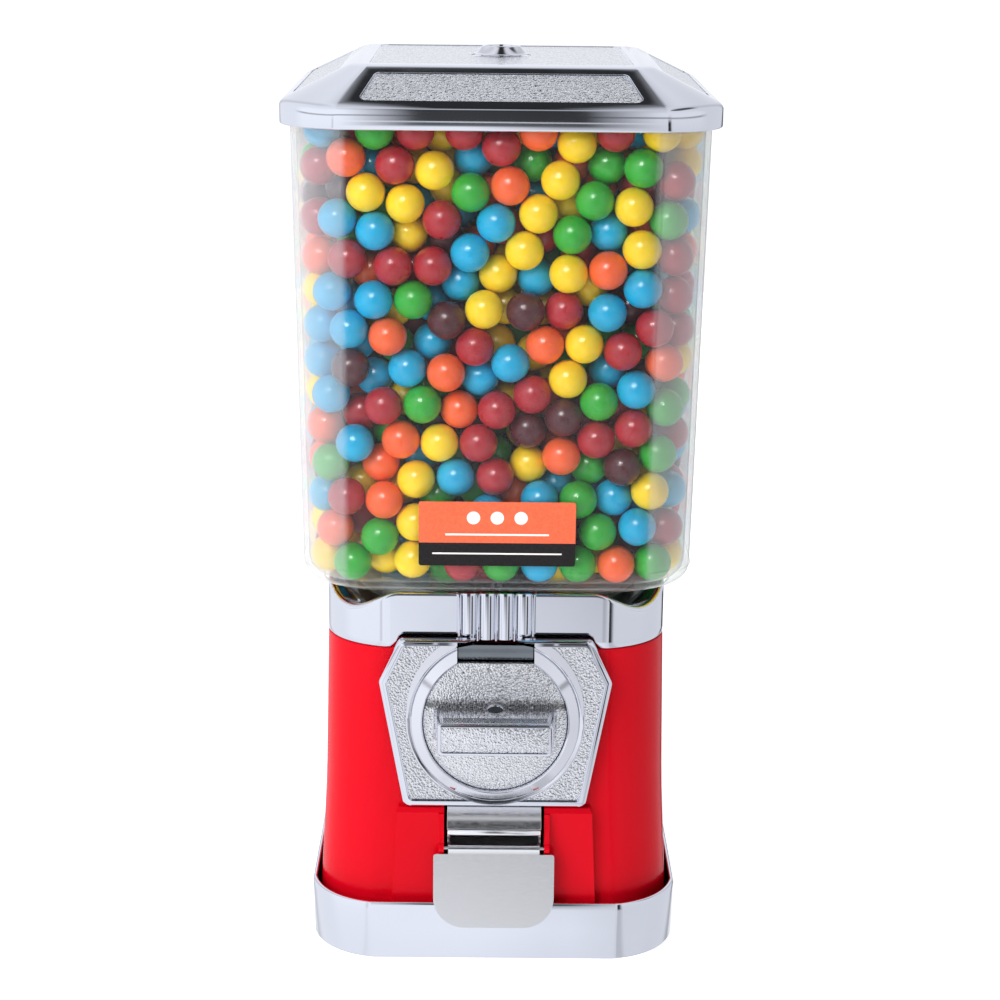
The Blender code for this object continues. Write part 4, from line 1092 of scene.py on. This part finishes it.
def make_world():
    """Plain white to the camera, even light on matt surfaces, and a room of softboxes for shiny ones."""
    world = bpy.data.worlds.new("studio_world")
    bpy.context.scene.world = world
    world.use_nodes = True
    sky = Sky(world.node_tree)
    near_left = sky.curve(
        sky.z, (-1, 0.95), (-0.6, 1.08), (-0.4, 1.06), (-0.29, 1.08), (-0.22, 0.15), (-0.12, 0.12),
        (-0.107, 0.9), (-0.103, 0.9), (-0.1, 0.25), (-0.097, 0.85), (-0.085, 0.85), (-0.06, 0.06),
        (0.5, 0.05), (0.64, 0.4), (0.8, 0.95), (1, 0.9),
    )
    near_right = sky.curve(
        sky.z, (-1, 0.85), (-0.6, 0.98), (-0.42, 0.92), (-0.29, 0.5), (-0.22, 0.12), (-0.12, 0.1),
        (-0.107, 0.85), (-0.103, 0.8), (-0.1, 0.15), (-0.097, 0.75), (-0.085, 0.72), (-0.06, 0.05),
        (0.5, 0.04), (0.64, 0.3), (0.8, 0.85), (1, 0.8),
    )
    far_left = sky.curve(
        sky.z, (-1, 0.95), (-0.4, 1.08), (0.1, 1.12), (0.12, 0.5), (0.15, 0.5), (0.17, 1.15), (0.6, 1.0),
        (1, 0.9),
    )
    far_right = sky.curve(
        sky.z, (-1, 0.85), (-0.4, 0.8), (0.09, 0.88), (0.11, 0.4), (0.15, 0.4), (0.17, 0.92), (1, 0.8),
    )
    front = sky.blend(sky.curve(sky.x, (-0.06, 0), (0.1, 1)), near_left, near_right)
    front = sky.blend(sky.curve(sky.x, (-0.27, 1), (-0.15, 0)), front, far_left)
    front = sky.blend(sky.curve(sky.x, (0.15, 0), (0.28, 1)), front, far_right)
    back = sky.curve(
        sky.x, (-1, 1.0), (-0.6, 0.97), (-0.42, 0.72), (-0.28, 0.92), (-0.15, 1.0), (0.15, 0.95),
        (0.28, 0.82), (0.42, 0.62), (0.6, 0.8), (1, 0.8),
    )
    room = sky.blend(sky.curve(sky.y, (-0.15, 0), (0.15, 1)), front, back)
    across = sky.curve(
        sky.x, (-0.5, 0), (-0.45, 0.3), (-0.36, 0), (0.335, 0), (0.355, 1), (0.46, 1), (0.53, 0),
    )
    height = sky.curve(sky.z, (-0.44, 0.25), (-0.36, 1), (-0.06, 1), (0.1, 0.2), (0.3, 0))
    room = sky.darkened(room, sky.math("MULTIPLY", across, height), 0.96)
    across = sky.curve(
        sky.x, (-0.24, 0), (-0.15, 0.25), (-0.11, 0.75), (-0.08, 1), (0.085, 1), (0.125, 0.75), (0.17, 0.25),
        (0.26, 0), (0.36, 0), (0.42, 0.9), (0.55, 0.9), (0.62, 0),
    )
    height = sky.curve(sky.z, (0.72, 0), (0.82, 1), (1.0, 1))
    room = sky.darkened(room, sky.math("MULTIPLY", height, across), 0.97)
    tint = sky.add("ShaderNodeVectorMath", operation="SCALE")
    tint.inputs[0].default_value = (0.965, 0.985, 1.04)
    sky.link(room, tint.inputs["Scale"])
    rays = sky.add("ShaderNodeLightPath")
    seen = {"Is Glossy Ray": sky.shader(1.0, tint.outputs[0]), "Is Camera Ray": sky.shader(1.1)}
    made = sky.shader(0.30)
    for ray, other in seen.items():
        mix = sky.add("ShaderNodeMixShader")
        for socket, source in zip(mix.inputs, (rays.outputs[ray], made, other)):
            sky.link(source, socket)
        made = mix.outputs[0]
    sky.link(made, sky.add("ShaderNodeOutputWorld").inputs["Surface"])


def area_lamp(name, spot, size, power, aim):
    """A rectangular lamp that faces a height on the machine's middle line."""
    data = bpy.data.lights.new(name, "AREA")
    data.shape, data.size, data.size_y, data.energy = "RECTANGLE", *size, power
    lamp = bpy.data.objects.new(name, data)
    lamp.location = spot
    lamp.rotation_euler = (Vector((0, 0, aim)) - Vector(spot)).to_track_quat("-Z", "Y").to_euler()
    bpy.context.scene.collection.objects.link(lamp)
    return lamp


def make_lamps():
    lamps = (
        ("key_left", (-0.72, -0.62, 0.66), (0.6, 1.1), 9.6),
        ("fill_right", (1.7, -0.9, 0.8), (1.0, 1.4), 0.8),
        ("front", (-0.9, -1.8, 1.5), (1.2, 0.8), 10.5),
        ("top", (0.0, 0.35, 1.9), (1.6, 1.2), 9.0),
        ("rear", (0.2, 1.9, 1.3), (2.0, 1.2), 11.0),
    )
    for name, spot, size, power in lamps:
        area_lamp(name, spot, size, power, 0.2).visible_glossy = False
    sweets = bpy.data.collections.new("sweets")
    for obj in bpy.context.scene.objects:
        if "gumball" in obj.name:
            sweets.objects.link(obj)
    for name, spot in (("glint_front", (-0.35, -1.3, 1.2)), ("glint_rear", (0.4, 1.4, 1.3))):
        lamp = area_lamp(name, spot, (0.6, 0.45), 18.0, 0.3)
        lamp.visible_diffuse = False
        lamp.light_linking.receiver_collection = sweets


def make_camera():
    spot = Vector((-0.0044, -1.13679, 0.5089))
    pitch, yaw, roll = (math.radians(a) for a in (14.94, 0.305, -0.61))
    data = bpy.data.cameras.new("camera")
    data.sensor_width, data.lens = 36.0, 84.45
    data.clip_start, data.clip_end = 0.01, 100.0
    camera = bpy.data.objects.new("camera", data)
    turn = Matrix.Rotation(-yaw, 4, "Z") @ Matrix.Rotation(math.pi / 2 - pitch, 4, "X")
    camera.matrix_world = Matrix.Translation(spot) @ turn @ Matrix.Rotation(-roll, 4, "Z")
    bpy.context.scene.collection.objects.link(camera)
    bpy.context.scene.camera = camera


slots = {row["node"]: row["material_slot"] for row in frame["record"]["subparts"]}
for node, obj in frame["nodes"].items():
    look = SLOT_LOOKS.get(slots[node])
    if look is not None:
        obj.data.materials.clear()
        obj.data.materials.append(look)
make_lid()
make_hopper()
make_gumballs()
make_collar()
make_body()
make_tray()
make_faceplate()
make_handle()
make_chute()
make_floor()
make_world()
make_lamps()
make_camera()
bpy.context.scene.view_settings.view_transform = "Standard"
